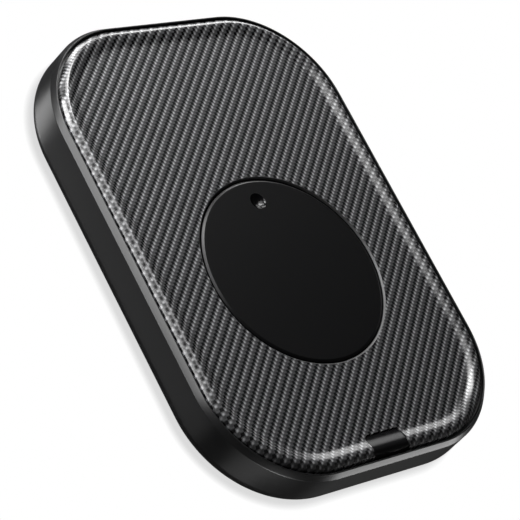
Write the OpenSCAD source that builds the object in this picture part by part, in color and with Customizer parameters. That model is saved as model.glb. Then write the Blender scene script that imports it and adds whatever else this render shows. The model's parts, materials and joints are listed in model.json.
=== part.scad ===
// Slim mouse jiggler: a flat casing with a patterned deck, and a motor-driven disc under the mouse.
// Millimetres. +Z is up and z = 0 is the surface it stands on. The power key is at the front, -Y.
// The origin is the middle of the footprint.

/* [Casing] */
// Width of the casing, side to side
body_w = 86; // [82:0.5:100]
// Length of the casing, front to rear
body_l = 120; // [116:0.5:140]
// Radius of the casing's corners in plan
corner_r = 26.5; // [22:0.5:30]
// Height of the casing's top edge above the surface it stands on
case_top = 12.6; // [12.4:0.1:14]
// Height of the sloping band round the top edge
band_h = 1.4; // [0.8:0.1:2]
// Width of the sloping band in plan
band_w = 0.87; // [0.5:0.01:1]
// How far the side wall leans in from its widest point to the band
wall_lean = 0.28; // [0:0.02:0.4]
// How far the lower edge is tucked in under the side wall
tuck_w = 2.2; // [1.2:0.1:2.4]
// Height over which the lower edge curves in
tuck_h = 4; // [3:0.1:5]
// Thickness of the side wall
wall_t = 2; // [1.9:0.1:2.4]
// Width of the flat lip inside the sloping band
lip_w = 0.3; // [0.2:0.05:0.4]
// Height from the deck's ledge to the top edge of the casing
ledge_drop = 1.3; // [1.1:0.05:1.4]
// Thickness of the ledge that carries the deck
ledge_t = 1.3; // [1:0.1:1.6]
// Reach of the ledge inside the side wall
ledge_w = 3; // [2.4:0.1:3.5]

/* [Deck] */
// Width of the dark gap between the lip and the deck
deck_gap = 0.6; // [0.3:0.05:0.8]
// Height of the deck's flat floor above its ledge
deck_t = 1.2; // [1.1:0.05:1.3]
// Bevel on the deck's outer edge
deck_bevel = 0.2; // [0.1:0.02:0.3]
// Height of the raised ridge above the deck's floor
ridge_h = 1; // [0.6:0.05:1.4]
// Width of the ridge's outer slope
ridge_out_w = 1.45; // [1.2:0.05:1.8]
// Width of the ridge's inner slope
ridge_in_w = 3.5; // [2.5:0.05:3.8]

/* [Turntable] */
// Diameter of the disc under the mouse
disc_d = 48; // [44:0.5:49]
// Thickness of the disc
disc_t = 1.6; // [1.2:0.1:1.7]
// Distance of the disc's centre in front of the casing's centre
disc_ahead = 9.8; // [6:0.2:12]
// How far the disc's face lies below the deck's floor
disc_sink = 0.1; // [0.05:0.01:0.2]
// Gap between the disc and the deck's opening
disc_gap = 0.4; // [0.3:0.05:0.6]
// Bevel on the deck's opening
opening_bevel = 0.37; // [0.2:0.01:0.5]
// Width of the bevel on the disc's edge
disc_bevel_w = 0.55; // [0.3:0.05:0.8]
// Height of the bevel on the disc's edge
disc_bevel_h = 0.3; // [0.2:0.05:0.5]
// Diameter of the finger dimple
dimple_d = 4.2; // [3:0.1:5]
// Depth of the finger dimple
dimple_depth = 1; // [0.6:0.05:1.1]
// Distance of the dimple from the disc's centre
dimple_reach = 18.4; // [15:0.2:19]
// Diameter of the steel spindle
spindle_d = 4; // [3:0.1:4.4]
// Diameter of the hub that carries the disc
hub_d = 17.2; // [16.5:0.1:18]
// Diameter of the pegs that lock the disc to its hub
peg_d = 2.2; // [1.6:0.1:2.3]

/* [Gears] */
// Gear module: the pitch diameter for each tooth
gear_module = 0.8; // [0.78:0.01:0.82]
// Teeth of the gear under the disc
disc_teeth = 48; // [46:1:50]
// Teeth of the reduction gear's small wheel
small_teeth = 12; // [12:1:13]
// Teeth of the reduction gear's large wheel
large_teeth = 30; // [29:1:31]
// Teeth of the motor's pinion
pinion_teeth = 10; // [10:1:11]
// Play across each tooth
tooth_play = 0.12; // [0.08:0.01:0.16]
// Face width of the gear under the disc
disc_gear_t = 2.4; // [2:0.1:2.5]
// Face width of the large wheel and the motor's pinion
large_t = 2; // [1.6:0.1:2]
// Direction from the disc's axis to the reduction gear's axis, in degrees from +X
reduction_bearing = 70; // [66:1:74]
// Direction from the reduction gear's axis to the motor's axis, in degrees from +X
motor_bearing = 135; // [132:1:138]
// Diameter of the reduction gear's pin
pin_d = 2; // [1.6:0.1:2.2]
// Running clearance between a shaft and its bore, on the radius
run_gap = 0.05; // [0.03:0.01:0.08]

/* [Motor] */
// Diameter of the motor's can
motor_d = 20; // [18:0.5:20.5]
// Height of the motor, can and plate together
motor_h = 6; // [5.6:0.1:6]
// Thickness of the motor's mounting plate
motor_plate_t = 0.6; // [0.5:0.05:0.8]
// Thickness of the can's wall
can_t = 0.5; // [0.4:0.05:0.6]
// Diameter of the motor's magnet
magnet_d = 9.4; // [8:0.2:10]
// Diameter of the motor's shaft
shaft_d = 1.5; // [1.2:0.1:1.8]
// Distance between the motor's two fixing screws
motor_ear_span = 26; // [25.5:0.1:27]
// Thickness of the foam pad under the motor
pad_t = 0.3; // [0.2:0.05:0.4]

/* [Power key] */
// Width of the power key
key_w = 10.7; // [9:0.1:12]
// Distance from the casing's front to the key's inner end
key_reach = 7.5; // [7.2:0.1:7.8]
// Radius of the key's inner corners
key_corner_r = 1.2; // [0.6:0.1:1.6]
// Gap round the key
key_gap = 0.2; // [0.15:0.01:0.25]
// How far the key's face lies below the deck's surface
key_sink = 0.15; // [0.05:0.01:0.25]
// Travel of the key
key_travel = 0.5; // [0.3:0.05:0.6]
// Width of the flange on each side that keeps the key in
key_flange_w = 1.2; // [0.8:0.1:1.4]
// Thickness of the key's flange
key_flange_t = 1; // [0.8:0.05:1.1]
// Diameter of the key's stem
key_stem_d = 4; // [3:0.1:4.5]

/* [Base] */
// Thickness of the bottom cover
base_t = 1.3; // [1.2:0.05:1.5]
// How far the feet stand out below the bottom cover
foot_out = 0.4; // [0.3:0.05:0.6]
// Depth of the pockets that hold the feet
foot_pocket = 0.6; // [0.4:0.05:0.7]
// Diameter of the feet
foot_d = 10; // [8:0.5:11]
// Distance of the feet inside the corner, along its diagonal
foot_inset = 9.4; // [9.3:0.1:11]
// Distance of the case screws inside the corner, along its diagonal
screw_inset = 7.3; // [7.2:0.1:8]
// Diameter of the screws' shanks
screw_d = 1.9; // [1.6:0.05:2]
// Diameter of the screws' heads
screw_head_d = 3.8; // [3.2:0.1:4]
// Thickness of the screws' heads
screw_head_t = 1.2; // [1:0.05:1.2]

/* [Circuit boards] */
// Thickness of the circuit boards
board_t = 1; // [0.8:0.1:1.2]
// Height of the boards above the bottom cover's floor
board_lift = 1.3; // [1:0.1:1.5]
// Width of the main board
main_board_w = 47; // [44:0.5:48]
// Gap between the motor's terminal and the main board
motor_board_gap = 1.2; // [0.8:0.1:1.6]
// Width of the key's board
key_board_w = 26; // [24:0.5:30]
// Length of the key's board, front to rear
key_board_l = 12.6; // [12:0.1:14]
// Width of the power socket's shell
socket_w = 8.94; // [8.9:0.01:9]
// Height of the power socket's shell
socket_h = 3.16; // [3.1:0.01:3.2]
// Length of the power socket's shell
socket_l = 7.35; // [7:0.05:7.5]
// Diameter of each insulated lead
lead_d = 0.7; // [0.5:0.05:0.8]
// Distance of the key's leads from the centre line
lead_run_x = 22; // [21.4:0.1:22.2]

/* [Hidden] */

$fn = 96;
eps = 0.01;     // overlap that makes a cut clean
seat_gap = 0.1; // small clearance between pieces that nest

// Heights, from the standing surface up.
base_z = foot_out;
floor_z = base_z + base_t;
blind_z = base_z + 0.5;   // bottom of the blind holes in the bottom cover
widest_z = base_z + tuck_h;
wall_top_z = case_top - band_h;
ledge_z = case_top - ledge_drop;
deck_z = ledge_z + deck_t;
crest_z = deck_z + ridge_h;
disc_top_z = deck_z - disc_sink;
disc_low_z = disc_top_z - disc_t;
under_disc_gap = 0.4;
shaft_out = 0.15;         // how far the pin and the motor's shaft stand out above their gears
large_top_z = disc_low_z - under_disc_gap;
large_low_z = large_top_z - large_t;
wheel_gap = 0.4;
disc_gear_top_z = large_low_z - wheel_gap;
disc_gear_low_z = disc_gear_top_z - disc_gear_t;
board_low_z = floor_z + board_lift;
board_top_z = board_low_z + board_t;

// Insets from the casing's outline.
band_in = wall_lean + band_w;
lip_in = band_in + lip_w;
deck_in = lip_in + deck_gap;
crest_in = deck_in + deck_bevel + ridge_out_w;
ridge_foot_in = crest_in + ridge_in_w;
skirt_w = 1;
skirt_in = tuck_w + skirt_w;
skirt_top_z = floor_z + 0.9;
base_in = skirt_in + 0.15;
tuck_r = (tuck_h * tuck_h + tuck_w * tuck_w) / (2 * tuck_w);

// The four case screws, on the diagonals of the corners.
function corner_point(inset) =
  [
    body_w / 2 - corner_r + (corner_r - inset) * cos(45),
    body_l / 2 - corner_r + (corner_r - inset) * cos(45)
  ];
screw_c = corner_point(screw_inset);
foot_c = corner_point(foot_inset);
shank_r = screw_d / 2;
pilot_r = shank_r + run_gap;
through_r = shank_r + 0.2;
head_r = screw_head_d / 2;
sink_r = head_r + 0.2;
cross_l = 2.4;                    // the cross cut in a screw's head: length, width and depth
cross_w = 0.6;
cross_depth = 0.4;
case_boss_r = 3.7;
deck_boss_r = 2.3;
case_boss_z = floor_z + 2.3;      // bottom cover's bosses meet the casing's bosses here
deck_boss_z = case_boss_z + 2;    // deck's bosses stand on the casing's boss floors here
case_head_z = floor_z + 0.7;      // underside of the boss floor that the screw head pulls on
case_screw_end_z = ledge_z - 1.7;
screw_tip_gap = 0.4;

// Axes of the gears.
disc_c = [0, -disc_ahead];
disc_pitch_r = gear_module * disc_teeth / 2;
small_pitch_r = gear_module * small_teeth / 2;
large_pitch_r = gear_module * large_teeth / 2;
pinion_pitch_r = gear_module * pinion_teeth / 2;
pressure_angle = 25;
tooth_top = 0.8;   // tooth height above the pitch circle, in modules
tooth_root = 1;    // tooth depth below the pitch circle, in modules
flank_steps = 3;
disc_centres = disc_pitch_r + small_pitch_r;
motor_centres = large_pitch_r + pinion_pitch_r;
reduction_c = disc_c + disc_centres * [cos(reduction_bearing), sin(reduction_bearing)];
motor_c = reduction_c + motor_centres * [cos(motor_bearing), sin(motor_bearing)];

// Turntable.
opening_r = disc_d / 2 + disc_gap;
spindle_r = spindle_d / 2;
spindle_boss_z = floor_z + 2.3;
spindle_boss_wall = 2;
spindle_boss_r = spindle_r + spindle_boss_wall;
washer_t = 0.4;
washer_z = spindle_boss_z + washer_t;
hub_low_z = washer_z + run_gap;
hub_foot_w = 2.5;
hub_foot_r = spindle_r + hub_foot_w;
clip_t = 0.4;
clip_room_z = disc_low_z - 1.7;
clip_z = clip_room_z + 0.15;
clip_r = spindle_r + 1.4;
groove_r = spindle_r - 0.4;
spindle_top_z = disc_low_z - 0.6;
clip_play = 0.6;
peg_pitch_r = (hub_d / 2 + clip_r + clip_play) / 2;
peg_len = 1.8;

// Reduction gear.
pin_r = pin_d / 2;
pin_boss_wall = 1.5;
reduction_boss_z = disc_gear_low_z - 0.4;
reduction_low_z = reduction_boss_z + seat_gap;

// Motor.
motor_low_z = floor_z + pad_t;
motor_top_z = motor_low_z + motor_h;
motor_plate_z = motor_top_z - motor_plate_t;
motor_r = motor_d / 2;
ear_r = 2.5;
ear_turn = motor_bearing - 90;
shaft_r = shaft_d / 2;
bush_r = shaft_r + 0.75;
lead_r = lead_d / 2;
lead_pitch = lead_d + 0.2;
motor_lead_count = 4;
terminal_w = motor_lead_count * lead_pitch + 1.6;
terminal_out = 1.6;
lead_on_board = 3.4;               // length of each lead on top of its board

// Power key.
front_y = -body_l / 2;
key_c = [0, front_y + (deck_in + key_reach) / 2];
key_end_y = front_y + key_reach;
key_low_z = ledge_z - seat_gap - key_flange_t;
flange_room = 0.4;                 // gap between the key's flange and the casing
switch_w = 6;
switch_body_h = 3.4;
switch_top_z = board_top_z + switch_body_h;
plunger_r = 1.75;
plunger_h = key_travel + 0.2;       // what stands above the switch's body
plunger_in = 0.8;                  // what is inside it at rest
plunger_room = plunger_in + key_travel + seat_gap;
stem_low_z = switch_top_z + plunger_h;

// Circuit boards.
rear_y = body_l / 2;
main_board_y = rear_y - wall_t - 1.6;
key_board_y = front_y + wall_t + 1;
board_post_r = 2.2;
main_front_y = motor_c.y + motor_r + terminal_out + motor_board_gap;
main_board_l = main_board_y - main_front_y;
post_edge = 4;                     // from a board's edge to its screws
post_shift = [1, 0.5];             // how much further in the main board's screws are
main_post_x = main_board_w / 2 - post_edge - post_shift.x;
main_post_ys = [main_board_y - post_edge, main_front_y + post_edge + post_shift.y];
key_post_x = key_board_w / 2 - post_edge;
key_post_in = 2.6;                 // from the key board's inner edge to its screws
key_post_y = key_board_y + key_board_l - key_post_in;
socket_mouth_y = rear_y - 0.8;
socket_t = 0.3;
tongue_t = 0.7;
tongue_root_t = 0.6;
tongue_l = socket_l - socket_t - 0.8;
chip_x = main_board_w / 4 - 0.75;
chip_y = (main_board_y + main_front_y) / 2;
controller_size = [5, 5, 1];
driver_size = [4, 5, 1.2];
capacitor_size = [2, 1.2, 1];
capacitor_in = 3.2;                // from the main board's edges to its capacitors
capacitor_cs = [
  [chip_x, main_board_y - capacitor_in], [-chip_x, main_board_y - capacitor_in],
  [chip_x / 2, main_front_y + capacitor_in]
];
lead_z = board_top_z + lead_r;
lead_bend_r = 3;
lead_in = 3;                       // from the key board's inner edge to its leads
lead_y = key_board_y + key_board_l - lead_in;
lead_start_x = key_post_x + head_r + 0.8;
lead_end_y = main_front_y + lead_on_board;
clip_ys = [-30, 26];
clip_l = 3;
clip_slot = lead_pitch + 2 * (lead_r + seat_gap);
clip_wall = 1.3;
clip_w = clip_slot + 2 * clip_wall;

// ---- Shared shapes ----

// A rectangle with round corners, centred, in the plane.
module round_rect(w, l, r) {
  square([w - 2 * r, l], center = true);
  square([w, l - 2 * r], center = true);
  for (x = [-1, 1], y = [-1, 1])
    translate([x * (w / 2 - r), y * (l / 2 - r)])
      circle(r = r);
}

// The casing's outline, drawn in by a distance.
module outline(inset) {
  round_rect(body_w - 2 * inset, body_l - 2 * inset, corner_r - inset);
}

// Carries a cross-section round the casing's outline: its x is the inset and its y is the height.
module rim_sweep() {
  half = [body_w / 2, body_l / 2];
  for (k = [0:3])
    rotate(90 * k) {
      reach = half[k % 2];
      run = half[(k + 1) % 2] - corner_r;
      translate([reach, run, 0])
        rotate([90, 0, 0])
          linear_extrude(2 * run)
            mirror([1, 0])
              children();
      translate([reach - corner_r, run, 0])
        rotate_extrude(angle = 90)
          translate([corner_r, 0])
            mirror([1, 0])
              children();
    }
}

module at_corners(c) {
  for (x = [-1, 1], y = [-1, 1])
    translate([x * c.x, y * c.y, 0])
      children();
}

module rod(r, z0, z1) {
  translate([0, 0, z0])
    cylinder(r = r, h = z1 - z0);
}

module ring(r_out, r_in, z0, z1) {
  difference() {
    rod(r_out, z0, z1);
    rod(r_in, z0 - 1, z1 + 1);
  }
}

module block(x0, x1, y0, y1, z0, z1) {
  translate([x0, y0, z0])
    cube([x1 - x0, y1 - y0, z1 - z0]);
}

// A pan-head screw hanging below its head's underside at z = 0.
module screw(shank_l) {
  difference() {
    rod(head_r, 0, screw_head_t);
    translate([0, 0, screw_head_t])
      cube([cross_w, cross_l, 2 * cross_depth], center = true);
    translate([0, 0, screw_head_t])
      cube([cross_l, cross_w, 2 * cross_depth], center = true);
  }
  rod(shank_r, -shank_l, eps);
}

// Involute angle of a point at radius r above the base circle rb, in degrees.
function involute(rb, r) =
  let (a = acos(min(1, rb / r)))
  tan(a) * 180 / PI - a;

// Half the angle that a tooth covers at radius r.
function half_tooth(teeth, r) =
  let (pitch_r = gear_module * teeth / 2,
       rb = pitch_r * cos(pressure_angle),
       thin = tooth_play / 2 / pitch_r * 180 / PI)
  90 / teeth - thin + involute(rb, pitch_r) - involute(rb, max(r, rb));

// Radii of the points on a tooth's flank, from root to tip.
function flank_radii(teeth) =
  let (pitch_r = gear_module * teeth / 2,
       root = pitch_r - tooth_root * gear_module,
       tip = pitch_r + tooth_top * gear_module,
       start = max(root, pitch_r * cos(pressure_angle)))
  concat(start > root ? [root] : [], [for (i = [0:flank_steps]) start + (tip - start) * i / flank_steps]);

// A spur gear in the plane with the middle of one tooth at the angle phase.
module gear_outline(teeth, phase) {
  radii = flank_radii(teeth);
  n = len(radii);
  polygon([
    for (t = [0:teeth - 1], i = [0:2 * n - 1])
      let (rising = i < n,
           r = rising ? radii[i] : radii[2 * n - 1 - i],
           a = phase + 360 * t / teeth + (rising ? -1 : 1) * half_tooth(teeth, r))
      r * [cos(a), sin(a)]
  ]);
}

// Phase of a gear that meshes with another at the bearing, seen from the other gear.
function mesh_phase(bearing, other_teeth, other_phase, teeth) =
  bearing + 180 - (0.5 - (bearing - other_phase) * other_teeth / 360) * 360 / teeth;

small_phase = mesh_phase(reduction_bearing, disc_teeth, 0, small_teeth);
large_phase = 0;
pinion_phase = mesh_phase(motor_bearing, large_teeth, large_phase, pinion_teeth);

// ---- Casing ----

module frame_section() {
  difference() {
    polygon([
      [0, base_z], [0, widest_z], [wall_lean, wall_top_z], [band_in, case_top], [lip_in, case_top],
      [lip_in, ledge_z], [wall_t + ledge_w, ledge_z], [wall_t + ledge_w, ledge_z - ledge_t],
      [wall_t, ledge_z - ledge_t], [wall_t, skirt_top_z], [skirt_in, skirt_top_z], [skirt_in, base_z]
    ]);
    difference() {
      translate([-1, base_z - 1])
        square([tuck_r + 1, tuck_h + 1]);
      translate([tuck_r, widest_z])
        circle(r = tuck_r);
    }
  }
}

module case_frame() {
  color("#242526")
    difference() {
      union() {
        rim_sweep()
          frame_section();
        at_corners(screw_c)
          rod(case_boss_r, case_boss_z, ledge_z);
      }
      at_corners(screw_c) {
        rod(deck_boss_r + seat_gap, deck_boss_z, ledge_z + 1);
        rod(through_r, case_boss_z - 1, deck_boss_z + 1);
      }
      key_room();
      socket_window();
    }
}

// Room in the ledge for the key's flange and its travel.
module key_room() {
  half_w = key_w / 2 + key_flange_w + flange_room;
  block(-half_w, half_w, front_y + wall_t, key_end_y + 2, key_low_z - key_travel - seat_gap, ledge_z + eps);
}

module socket_window() {
  translate([0, rear_y + 1, board_top_z + socket_h / 2])
    rotate([90, 0, 0])
      linear_extrude(wall_t + 2)
        stadium(socket_w + 0.6, socket_h + 0.6);
}

// A slot shape with round ends, centred.
module stadium(w, h) {
  square([w - h, h], center = true);
  for (x = [-1, 1])
    translate([x * (w - h) / 2, 0])
      circle(d = h);
}

// Height of the ridge's surface above the deck's floor, at a share of each slope.
function outer_slope(t) = ridge_h * sin(90 * t);
function inner_slope(t) = ridge_h * (1 + cos(180 * t)) / 2;
slope_steps = 6;
deck_lap = 0.5;   // how far the rim's section and the deck's floor lap

// The deck's rim, as the inset and the height above a base height.
function ridge_points(low_z, drop) = concat(
  [[ridge_foot_in + deck_lap, low_z], [deck_in, low_z], [deck_in, deck_z - deck_bevel - drop]],
  [for (i = [0:slope_steps])
    let (t = i / slope_steps)
    [deck_in + deck_bevel + ridge_out_w * t, deck_z - drop + outer_slope(t)]],
  [for (i = [1:slope_steps])
    let (t = i / slope_steps)
    [crest_in + ridge_in_w * t, deck_z - drop + inner_slope(t)]],
  [[ridge_foot_in + deck_lap, deck_z - drop]]
);

module deck_cover() {
  color("#3c3d3f")
    difference() {
      union() {
        rim_sweep()
          polygon(ridge_points(ledge_z, 0));
        translate([0, 0, ledge_z])
          linear_extrude(deck_t)
            outline(ridge_foot_in + deck_lap / 2);
        at_corners(screw_c)
          rod(deck_boss_r, deck_boss_z + run_gap, ledge_z + eps);
      }
      translate([disc_c.x, disc_c.y, 0]) {
        rod(opening_r, ledge_z - 1, crest_z);
        translate([0, 0, deck_z - opening_bevel])
          cylinder(r1 = opening_r, r2 = opening_r + opening_bevel + eps, h = opening_bevel + eps);
      }
      translate([0, 0, ledge_z - 1])
        linear_extrude(ridge_h + deck_t + 2)
          key_plan(key_gap);
      at_corners(screw_c)
        rod(pilot_r, deck_boss_z - 1, case_screw_end_z + screw_tip_gap);
    }
}

module bottom_cover() {
  color("#1d1e1f")
    difference() {
      union() {
        translate([0, 0, base_z])
          linear_extrude(base_t)
            outline(base_in);
        at_corners(screw_c)
          rod(case_boss_r, floor_z - eps, case_boss_z);
        at_disc()
          rod(spindle_boss_r, floor_z - eps, spindle_boss_z);
        at_reduction()
          rod(pin_r + pin_boss_wall, floor_z - eps, reduction_boss_z);
        at_motor_ears()
          rod(ear_r - 0.3, floor_z - eps, motor_plate_z);
        at_board_screws()
          rod(board_post_r, floor_z - eps, board_low_z);
        for (y = clip_ys)
          translate([-lead_run_x, y, 0])
            block(-clip_w / 2, clip_w / 2, -clip_l / 2, clip_l / 2, floor_z - eps, lead_z + lead_r + 0.8);
      }
      at_corners(foot_c)
        rod(foot_d / 2 + seat_gap, base_z - 1, base_z + foot_pocket);
      at_corners(screw_c) {
        rod(sink_r, base_z, case_head_z);
        rod(through_r, base_z, case_boss_z + 1);
      }
      at_disc()
        rod(spindle_r, blind_z, spindle_boss_z + 1);
      at_reduction()
        rod(pin_r, blind_z, reduction_boss_z + 1);
      at_motor_ears()
        rod(pilot_r, floor_z + 0.6, motor_plate_z + 1);
      at_board_screws()
        rod(pilot_r, blind_z, board_low_z + 1);
      for (y = clip_ys)
        translate([-lead_run_x, y, 0])
          block(-clip_slot / 2, clip_slot / 2, -clip_l, clip_l, lead_z - lead_r, crest_z);
    }
}

module case_screws() {
  color("#8c8e90")
    at_corners(screw_c)
      translate([0, 0, case_head_z])
        mirror([0, 0, 1])
          screw(case_screw_end_z - case_head_z);
}

module foot(x, y) {
  color("#2c2c2c")
    translate([x * foot_c.x, y * foot_c.y, 0])
      rod(foot_d / 2, 0, base_z + foot_pocket);
}

// ---- Turntable ----

module at_disc() {
  translate([disc_c.x, disc_c.y, 0])
    children();
}

module at_pegs() {
  for (k = [0:2])
    rotate(120 * k + 90)
      translate([peg_pitch_r, 0, 0])
        children();
}

module turntable_disc() {
  dimple_r = (pow(dimple_d / 2, 2) + pow(dimple_depth, 2)) / (2 * dimple_depth);
  color("#161718")
    at_disc() {
      difference() {
        union() {
          rod(disc_d / 2, disc_low_z, disc_top_z - disc_bevel_h);
          translate([0, 0, disc_top_z - disc_bevel_h])
            cylinder(r1 = disc_d / 2, r2 = disc_d / 2 - disc_bevel_w, h = disc_bevel_h);
        }
        translate([0, dimple_reach, disc_top_z - dimple_depth + dimple_r])
          sphere(r = dimple_r);
      }
      at_pegs()
        rod(peg_d / 2, disc_low_z - peg_len, disc_low_z + eps);
    }
}

module turntable_gear() {
  color("#d8d4c8")
    at_disc()
      difference() {
        union() {
          rod(hub_foot_r, hub_low_z, disc_gear_low_z + eps);
          translate([0, 0, disc_gear_low_z])
            linear_extrude(disc_gear_t)
              gear_outline(disc_teeth, 0);
          rod(hub_d / 2, disc_gear_top_z - eps, disc_low_z);
        }
        rod(spindle_r + run_gap, hub_low_z - 1, disc_low_z + 1);
        rod(clip_r + clip_play, clip_room_z, disc_low_z + 1);
        at_pegs()
          rod(peg_d / 2 + run_gap, disc_low_z - peg_len - seat_gap, disc_low_z + 1);
      }
}

module spindle_pin() {
  color("#b9bcbf")
    at_disc()
      difference() {
        rod(spindle_r, blind_z, spindle_top_z);
        ring(spindle_r + 1, groove_r, clip_z - run_gap, clip_z + clip_t + run_gap);
      }
}

module thrust_washer() {
  color("#efefe8")
    at_disc()
      ring(spindle_boss_r - 0.4, spindle_r + run_gap, spindle_boss_z, washer_z);
}

// An open clip that snaps into the spindle's groove.
module spindle_clip() {
  color("#6f7274")
    at_disc()
      difference() {
        ring(clip_r, groove_r + run_gap, clip_z, clip_z + clip_t);
        block(-groove_r * 0.8, groove_r * 0.8, 0, clip_r + 1, clip_z - 1, clip_z + 1);
      }
}

// ---- Gear train ----

module at_reduction() {
  translate([reduction_c.x, reduction_c.y, 0])
    children();
}

module reduction_gear() {
  color("#e4e0d2")
    at_reduction()
      difference() {
        union() {
          translate([0, 0, reduction_low_z])
            linear_extrude(large_low_z - reduction_low_z + eps)
              gear_outline(small_teeth, small_phase);
          translate([0, 0, large_low_z])
            linear_extrude(large_t)
              gear_outline(large_teeth, large_phase);
        }
        rod(pin_r + run_gap, reduction_low_z - 1, large_top_z + 1);
      }
}

module reduction_pin() {
  color("#b9bcbf")
    at_reduction()
      rod(pin_r, blind_z, large_top_z + shaft_out);
}

// ---- Motor ----

module at_motor() {
  translate([motor_c.x, motor_c.y, 0])
    children();
}

module at_motor_ears() {
  at_motor()
    for (side = [-1, 1])
      rotate(ear_turn)
        translate([side * motor_ear_span / 2, 0, 0])
          children();
}

module motor_can() {
  color("#a4a7aa")
    at_motor()
      difference() {
        rod(motor_r, motor_low_z, motor_plate_z);
        rod(motor_r - can_t, motor_low_z + can_t, motor_plate_z + 1);
        rod(bush_r, motor_low_z - 1, motor_plate_z);
      }
}

module motor_plate() {
  color("#b5b8ba")
    difference() {
      union() {
        at_motor() {
          rod(motor_r, motor_plate_z, motor_top_z);
          rotate(ear_turn)
            block(-motor_ear_span / 2, motor_ear_span / 2, -ear_r, ear_r, motor_plate_z, motor_top_z);
        }
        at_motor_ears()
          rod(ear_r, motor_plate_z, motor_top_z);
      }
      at_motor()
        rod(bush_r, motor_plate_z - 1, motor_top_z + 1);
      at_motor_ears()
        rod(through_r, motor_plate_z - 1, motor_top_z + 1);
    }
}

module motor_coil() {
  color("#b06a3a")
    at_motor()
      ring(motor_r - can_t - seat_gap, magnet_d / 2 + 0.4, motor_low_z + can_t + 0.2, motor_plate_z - 0.2);
}

module motor_magnet() {
  color("#4b4d50")
    at_motor()
      ring(magnet_d / 2, shaft_r, motor_low_z + 1, motor_plate_z - 0.5);
}

module motor_shaft() {
  color("#c9ccce")
    at_motor()
      rod(shaft_r, motor_low_z + seat_gap, large_top_z + shaft_out);
}

// The lower bush in the can's floor and the upper one in the plate.
module motor_bushes() {
  color("#b08d4c")
    at_motor() {
      ring(bush_r, shaft_r + run_gap, motor_low_z, motor_low_z + 0.9);
      ring(bush_r, shaft_r + run_gap, motor_plate_z - 0.3, motor_top_z + 0.2);
    }
}

module motor_pinion() {
  color("#c8a34f")
    at_motor()
      difference() {
        translate([0, 0, large_low_z])
          linear_extrude(large_t)
            gear_outline(pinion_teeth, pinion_phase);
        rod(shaft_r, large_low_z - 1, large_top_z + 1);
      }
}

module motor_terminal() {
  color("#e9e6dc")
    at_motor()
      difference() {
        block(-terminal_w / 2, terminal_w / 2, motor_r - 1.5, motor_r + terminal_out,
              motor_low_z + 0.6, lead_z + lead_r + 0.4);
        rod(motor_r, motor_low_z - 1, motor_top_z);
      }
}

module motor_pad() {
  color("#3a3a3a")
    at_motor()
      rod(motor_r - 0.5, floor_z, motor_low_z);
}

module motor_screws() {
  color("#8c8e90")
    at_motor_ears()
      translate([0, 0, motor_top_z])
        screw(motor_top_z - floor_z - 1);
}

// Four leads from the motor's terminal to the main board.
module motor_leads() {
  color("#c0392b")
    at_motor()
      for (k = [0:motor_lead_count - 1])
        translate([(k - (motor_lead_count - 1) / 2) * lead_pitch, motor_r + terminal_out, lead_z])
          rotate([-90, 0, 0])
            cylinder(r = lead_r, h = motor_board_gap + lead_on_board);
}

// ---- Circuit boards ----

module at_main_screws() {
  for (x = [-1, 1], y = main_post_ys)
    translate([x * main_post_x, y, 0])
      children();
}

module at_board_screws() {
  at_main_screws()
    children();
  for (x = [-1, 1])
    translate([x * key_post_x, key_post_y, 0])
      children();
}

module main_board() {
  color("#1f5b3a")
    difference() {
      block(-main_board_w / 2, main_board_w / 2, main_board_y - main_board_l, main_board_y,
            board_low_z, board_top_z);
      at_main_screws()
        rod(through_r, board_low_z - 1, board_top_z + 1);
    }
}

module key_board() {
  color("#1f5b3a")
    difference() {
      block(-key_board_w / 2, key_board_w / 2, key_board_y, key_board_y + key_board_l,
            board_low_z, board_top_z);
      at_board_screws()
        rod(through_r, board_low_z - 1, board_top_z + 1);
    }
}

module board_screws() {
  color("#8c8e90")
    at_board_screws()
      translate([0, 0, board_top_z])
        screw(board_top_z - blind_z - 0.2);
}

// Places a shape on the power socket's axis, with z = 0 at its mouth and +z into the casing.
module at_socket() {
  translate([0, socket_mouth_y, board_top_z + socket_h / 2])
    rotate([90, 0, 0])
      children();
}

module socket_shell() {
  color("#c4c7c9")
    at_socket()
      difference() {
        linear_extrude(socket_l)
          stadium(socket_w, socket_h);
        translate([0, 0, -1])
          linear_extrude(socket_l + 1 - socket_t)
            stadium(socket_w - 2 * socket_t, socket_h - 2 * socket_t);
      }
}

module socket_tongue() {
  color("#2a2a2c")
    at_socket() {
      translate([0, 0, socket_l - socket_t - tongue_l])
        linear_extrude(tongue_l)
          square([socket_w - socket_h + tongue_t, tongue_t], center = true);
      translate([0, 0, socket_l - socket_t - tongue_root_t])
        linear_extrude(tongue_root_t)
          stadium(socket_w - 2 * socket_t - seat_gap, socket_h - 2 * socket_t - seat_gap);
    }
}

// A flat component on the main board, by its centre and its size.
module component(c, size) {
  translate([c.x, c.y, board_top_z + size.z / 2])
    cube(size, center = true);
}

module controller_chip() {
  color("#202022")
    component([chip_x, chip_y], controller_size);
}

module driver_chip() {
  color("#202022")
    component([-chip_x, chip_y], driver_size);
}

module board_capacitors() {
  color("#b89a6a")
    for (c = capacitor_cs)
      component(c, capacitor_size);
}

module switch_body() {
  color("#2b2b2d")
    translate([key_c.x, key_c.y, 0])
      difference() {
        block(-switch_w / 2, switch_w / 2, -switch_w / 2 + 1, switch_w / 2 + 1, board_top_z, switch_top_z);
        rod(plunger_r + seat_gap, switch_top_z - plunger_room, switch_top_z + 1);
      }
}

module switch_plunger() {
  color("#0f0f10")
    translate([key_c.x, key_c.y, 0])
      rod(plunger_r, switch_top_z - plunger_in, stem_low_z);
}

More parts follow.
